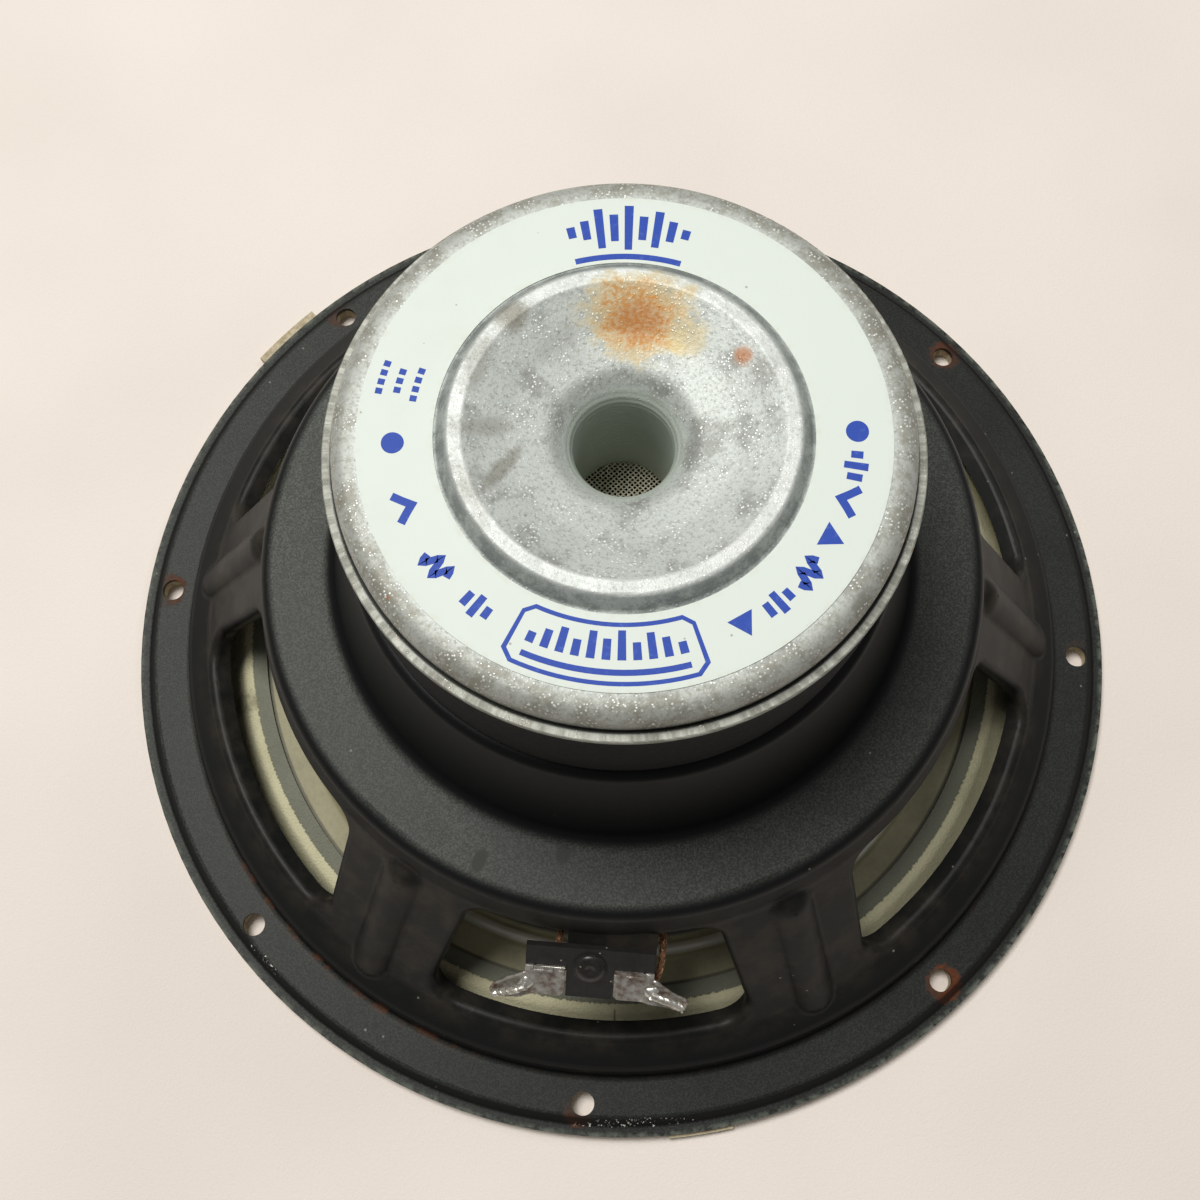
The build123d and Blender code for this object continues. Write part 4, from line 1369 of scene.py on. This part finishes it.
    def run_solder(self, side: int, name: str) -> None:
        """Solder that ran over the lug.

        Args:
            side: 1 for +X.
            name: left or right.
        """
        s = self.sizes
        rings, around, half_long, half_wide, high = 12, 28, 2.0, 1.5, 1.1
        waves = [(self.chance.uniform(0, 6.3), self.chance.uniform(0.05, 0.13)) for _ in range(3)]
        rows = []
        for i in range(rings + 1):
            rise = i / rings
            reach = math.cos(rise * math.pi / 2) ** 0.62
            row = []
            for j in range(around):
                turn = 2 * math.pi * j / around
                lump = 1.0 + sum(deep * math.sin((k + 2) * turn + lag) for k, (lag, deep) in enumerate(waves))
                x = 0.4 + half_long * reach * lump * math.cos(turn)
                y = half_wide * reach * lump * math.sin(turn)
                row.append(Vector((x, y, s.lug - 0.1 + high * rise ** 1.4)))
            rows.append(row)
        shape = Shape()
        shape.grid(rows, around=True)
        shape.cap(rows[0][::-1])
        piece = shape.build(f"solder_run_{name}", self.solder.material(), s.tail(side))
        settle(piece, "solder", f"solder_{name}")

    def twist_wire(self, side: int, name: str) -> None:
        """Twisted wire end left in the solder, six strands round one.

        Args:
            side: 1 for +X.
            name: left or right.
        """
        s = self.sizes
        outer_strands, steps, turns, lay, strand_radius = 6, 41, 3.2, 0.58, 0.33
        length = s.tail_length - 1.0
        wire = Shape()
        for strand in range(outer_strands + 1):
            away = 0.0 if strand == outer_strands else lay
            points = []
            for k in range(steps + 1):
                run = k / steps
                turn = 2 * math.pi * (run * turns + strand / outer_strands)
                fray = 1.0 + 0.25 * max(0.0, run - 0.8) / 0.2 * math.sin(strand * 2.3)
                middle = s.lug + 0.97 + 0.12 * math.sin(5.0 * run)
                sway = 0.2 * math.sin(3.6 * run)
                y = away * fray * math.cos(turn) + sway
                points.append(Vector((run * length, y, middle + away * fray * math.sin(turn))))
            wire.tube(points, strand_radius)
        piece = wire.build(f"wire_end_{name}", self.wire.material(), s.tail(side))
        settle(piece, "tinned_wire", f"wire_stub_{name}")

    def build(self) -> None:
        """Makes the pieces and dresses the board."""
        board = Plain("phenolic", tint(30, 29, 28), tint(18, 18, 18), 1.4, 0.55, depth=0.05, specks=0.07)
        dress("terminal_board", board.material())
        self.rivet()
        for side, name in ((-1, "left"), (1, "right")):
            self.lug(side, name)
            self.run_solder(side, name)
            self.twist_wire(side, name)


# ---- Tinsel leads ----------------------------------------------------------------------
@dataclass(frozen=True)
class TinselLead:
    """Braided copper lead between a lug and its pad on the cone."""

    name: str
    route: tuple[Point, ...]
    radius: float = 0.9
    strands: int = 8
    pitch: float = 7.0
    bend: Corner = (-86.0, -50.5)

    def line(self) -> list[Vector]:
        """Evenly run points of the lead's middle line, in millimetres."""
        curve = bpy.data.curves.new(f"route_{self.name}", "CURVE")
        curve.dimensions = "3D"
        curve.resolution_u = 16
        spline = curve.splines.new("NURBS")
        spline.points.add(len(self.route) - 1)
        for point, place in zip(spline.points, self.route):
            point.co = (*place, 1.0)
        spline.order_u = 3
        spline.use_endpoint_u = True
        guide = bpy.data.objects.new(f"route_{self.name}", curve)
        bpy.context.scene.collection.objects.link(guide)
        graph = bpy.context.evaluated_depsgraph_get()
        shown = guide.evaluated_get(graph)
        points = [Vector(v.co) for v in shown.to_mesh().vertices]
        shown.to_mesh_clear()
        bpy.data.objects.remove(guide)
        bpy.data.curves.remove(curve)
        return points

    def build(self, material: bpy.types.Material) -> None:
        """Braids the strands in place of the solid lead.

        Args:
            material: the copper.
        """
        line = self.line()
        runs = [0.0]
        for before, after in zip(line, line[1:]):
            runs.append(runs[-1] + (after - before).length)
        frames = carried(line)
        shape = Shape()
        shape.tube(line, self.radius * 0.62, 8)
        for strand in range(self.strands):
            way = 1 if strand % 2 else -1
            lag = 2 * math.pi * (strand // 2) / (self.strands / 2)
            points = []
            for spot, run in zip(frames, runs):
                turn = way * 2 * math.pi * run / self.pitch + lag
                points.append(ring(spot, self.radius * 0.7 + 0.07 * way * math.cos(4 * turn), turn))
            shape.tube(points, self.radius * 0.2, 5)
        piece = shape.build(f"tinsel_lead_{self.name}_braid", material)
        flex(piece, f"tinsel_lead_{self.name}")


LEADS = (
    TinselLead("left", (
        (-9.6, -96.0, 41.6), (-8.6, -91.6, 44.4), (-7.2, -86.4, 46.2), (-7.0, -80.6, 44.8),
        (-8.2, -73.4, 40.6), (-9.8, -65.0, 37.4), (-11.2, -56.6, 38.6), (-12.0, -50.2, 42.4),
        (-12.2, -46.4, 44.6))),
    TinselLead("right", (
        (13.0, -96.6, 41.8), (15.2, -92.0, 44.6), (15.8, -86.6, 46.4), (15.2, -80.4, 45.2),
        (14.0, -73.0, 41.8), (12.8, -64.6, 38.2), (12.2, -56.4, 38.4), (12.0, -50.4, 41.6),
        (12.0, -46.6, 44.4))),
)


# ---- Studio ----------------------------------------------------------------------------
@dataclass(frozen=True)
class Studio:
    """Plain pale floor, soft lights and the camera."""

    floor_half: float = 3.0
    floor_level: float = -0.3
    floor_cells: int = 8
    floor_tone: Colour = tint(229, 221, 213)
    floor_shade: Colour = tint(219, 209, 199)
    warm: Colour = (1.0, 0.98, 0.955)
    cool: Colour = (0.99, 0.99, 1.0)
    eye: Point = (0.00558, -0.1031, 0.353)
    aim: Point = (-0.00596, 0.00679, 0.0025)
    roll: float = -1.551
    lens: float = 40.51

    def floor(self) -> None:
        """Lays the floor."""
        shape = Shape()
        half = self.floor_half / MM
        lines = [half * (2 * k / self.floor_cells - 1) for k in range(self.floor_cells + 1)]
        shape.grid([[Vector((x, y, self.floor_level)) for x in lines] for y in lines])
        graph = Graph("floor_cloth")
        place = Place(graph)
        weave = graph.noise(place.point, 0.6, 3.0, 0.7)
        folds = graph.noise(place.point, 90.0, 2.0, 0.5)
        colour = graph.blend(self.floor_tone, self.floor_shade, folds.ramp(0.3, 0.75) * 0.5)
        floor = shape.build("floor", graph.finish(colour, 0.9, weave + folds * 12.0, 0.15))

    def light(self, name: str, place: Point, size: float, power: float, tone: Colour) -> None:
        """Adds a square soft light aimed at the speaker.

        Args:
            name: of the light.
            place: where it hangs.
            size: side of the square.
            power: watts.
            tone: its colour.
        """
        lamp = bpy.data.lights.new(name, "AREA")
        lamp.shape = "SQUARE"
        lamp.size = size
        lamp.energy = power
        lamp.color = tone
        made = bpy.data.objects.new(name, lamp)
        made.location = place
        made.rotation_mode = "QUATERNION"
        made.rotation_quaternion = Vector(place).to_track_quat("Z", "Y")
        bpy.context.scene.collection.objects.link(made)

    def world(self, tone: Colour, strength: float) -> None:
        """Even light from all round."""
        world = bpy.data.worlds.new("room")
        world.use_nodes = True
        back = next(n for n in world.node_tree.nodes if n.type == "BACKGROUND")
        back.inputs["Color"].default_value = (*tone, 1.0)
        back.inputs["Strength"].default_value = strength
        bpy.context.scene.world = world

    def camera(self) -> None:
        """Sets the camera."""
        lens = bpy.data.cameras.new("camera")
        lens.lens = self.lens
        lens.sensor_width = 36.0
        lens.clip_start = 0.01
        made = bpy.data.objects.new("camera", lens)
        gaze = Vector(self.aim) - Vector(self.eye)
        roll = Matrix.Rotation(math.radians(self.roll), 4, "Z").to_quaternion()
        made.rotation_mode = "QUATERNION"
        made.rotation_quaternion = gaze.to_track_quat("-Z", "Y") @ roll
        made.location = self.eye
        bpy.context.scene.collection.objects.link(made)
        bpy.context.scene.camera = made

    def build(self) -> None:
        """Sets everything up."""
        self.floor()
        self.light("ceiling", (-0.42, 0.30, 1.55), 0.6, 24.0, self.warm)
        self.light("window", (0.8, 0.75, 1.2), 0.5, 3.0, self.cool)
        self.world(self.warm, 0.21)
        bpy.context.scene.view_settings.view_transform = "Standard"
        self.camera()


# ---- Assembly --------------------------------------------------------------------------
@dataclass(frozen=True)
class Driver:
    """The whole loudspeaker driver."""

    chassis: Chassis = Chassis()
    motor: MotorBack = MotorBack()
    suspension: Suspension = Suspension()
    moving: MovingAssembly = MovingAssembly()
    sizes: TerminalSizes = TerminalSizes()
    braid: Plain = Plain("copper_braid", tint(158, 116, 86), tint(84, 60, 44), 0.8, 0.5, metal=0.5)
    leads: tuple[TinselLead, ...] = LEADS

    def build(self) -> None:
        """Builds every group."""
        self.chassis.build()
        self.motor.build()
        self.suspension.build()
        self.moving.build()
        Terminal(self.sizes).build()
        copper = self.braid.material()
        for lead in self.leads:
            lead.build(copper)


def main() -> None:
    """Builds the speaker and the studio."""
    logging.basicConfig(level=logging.INFO)
    Driver().build()
    Studio().build()


if __name__ == "__main__":
    main()
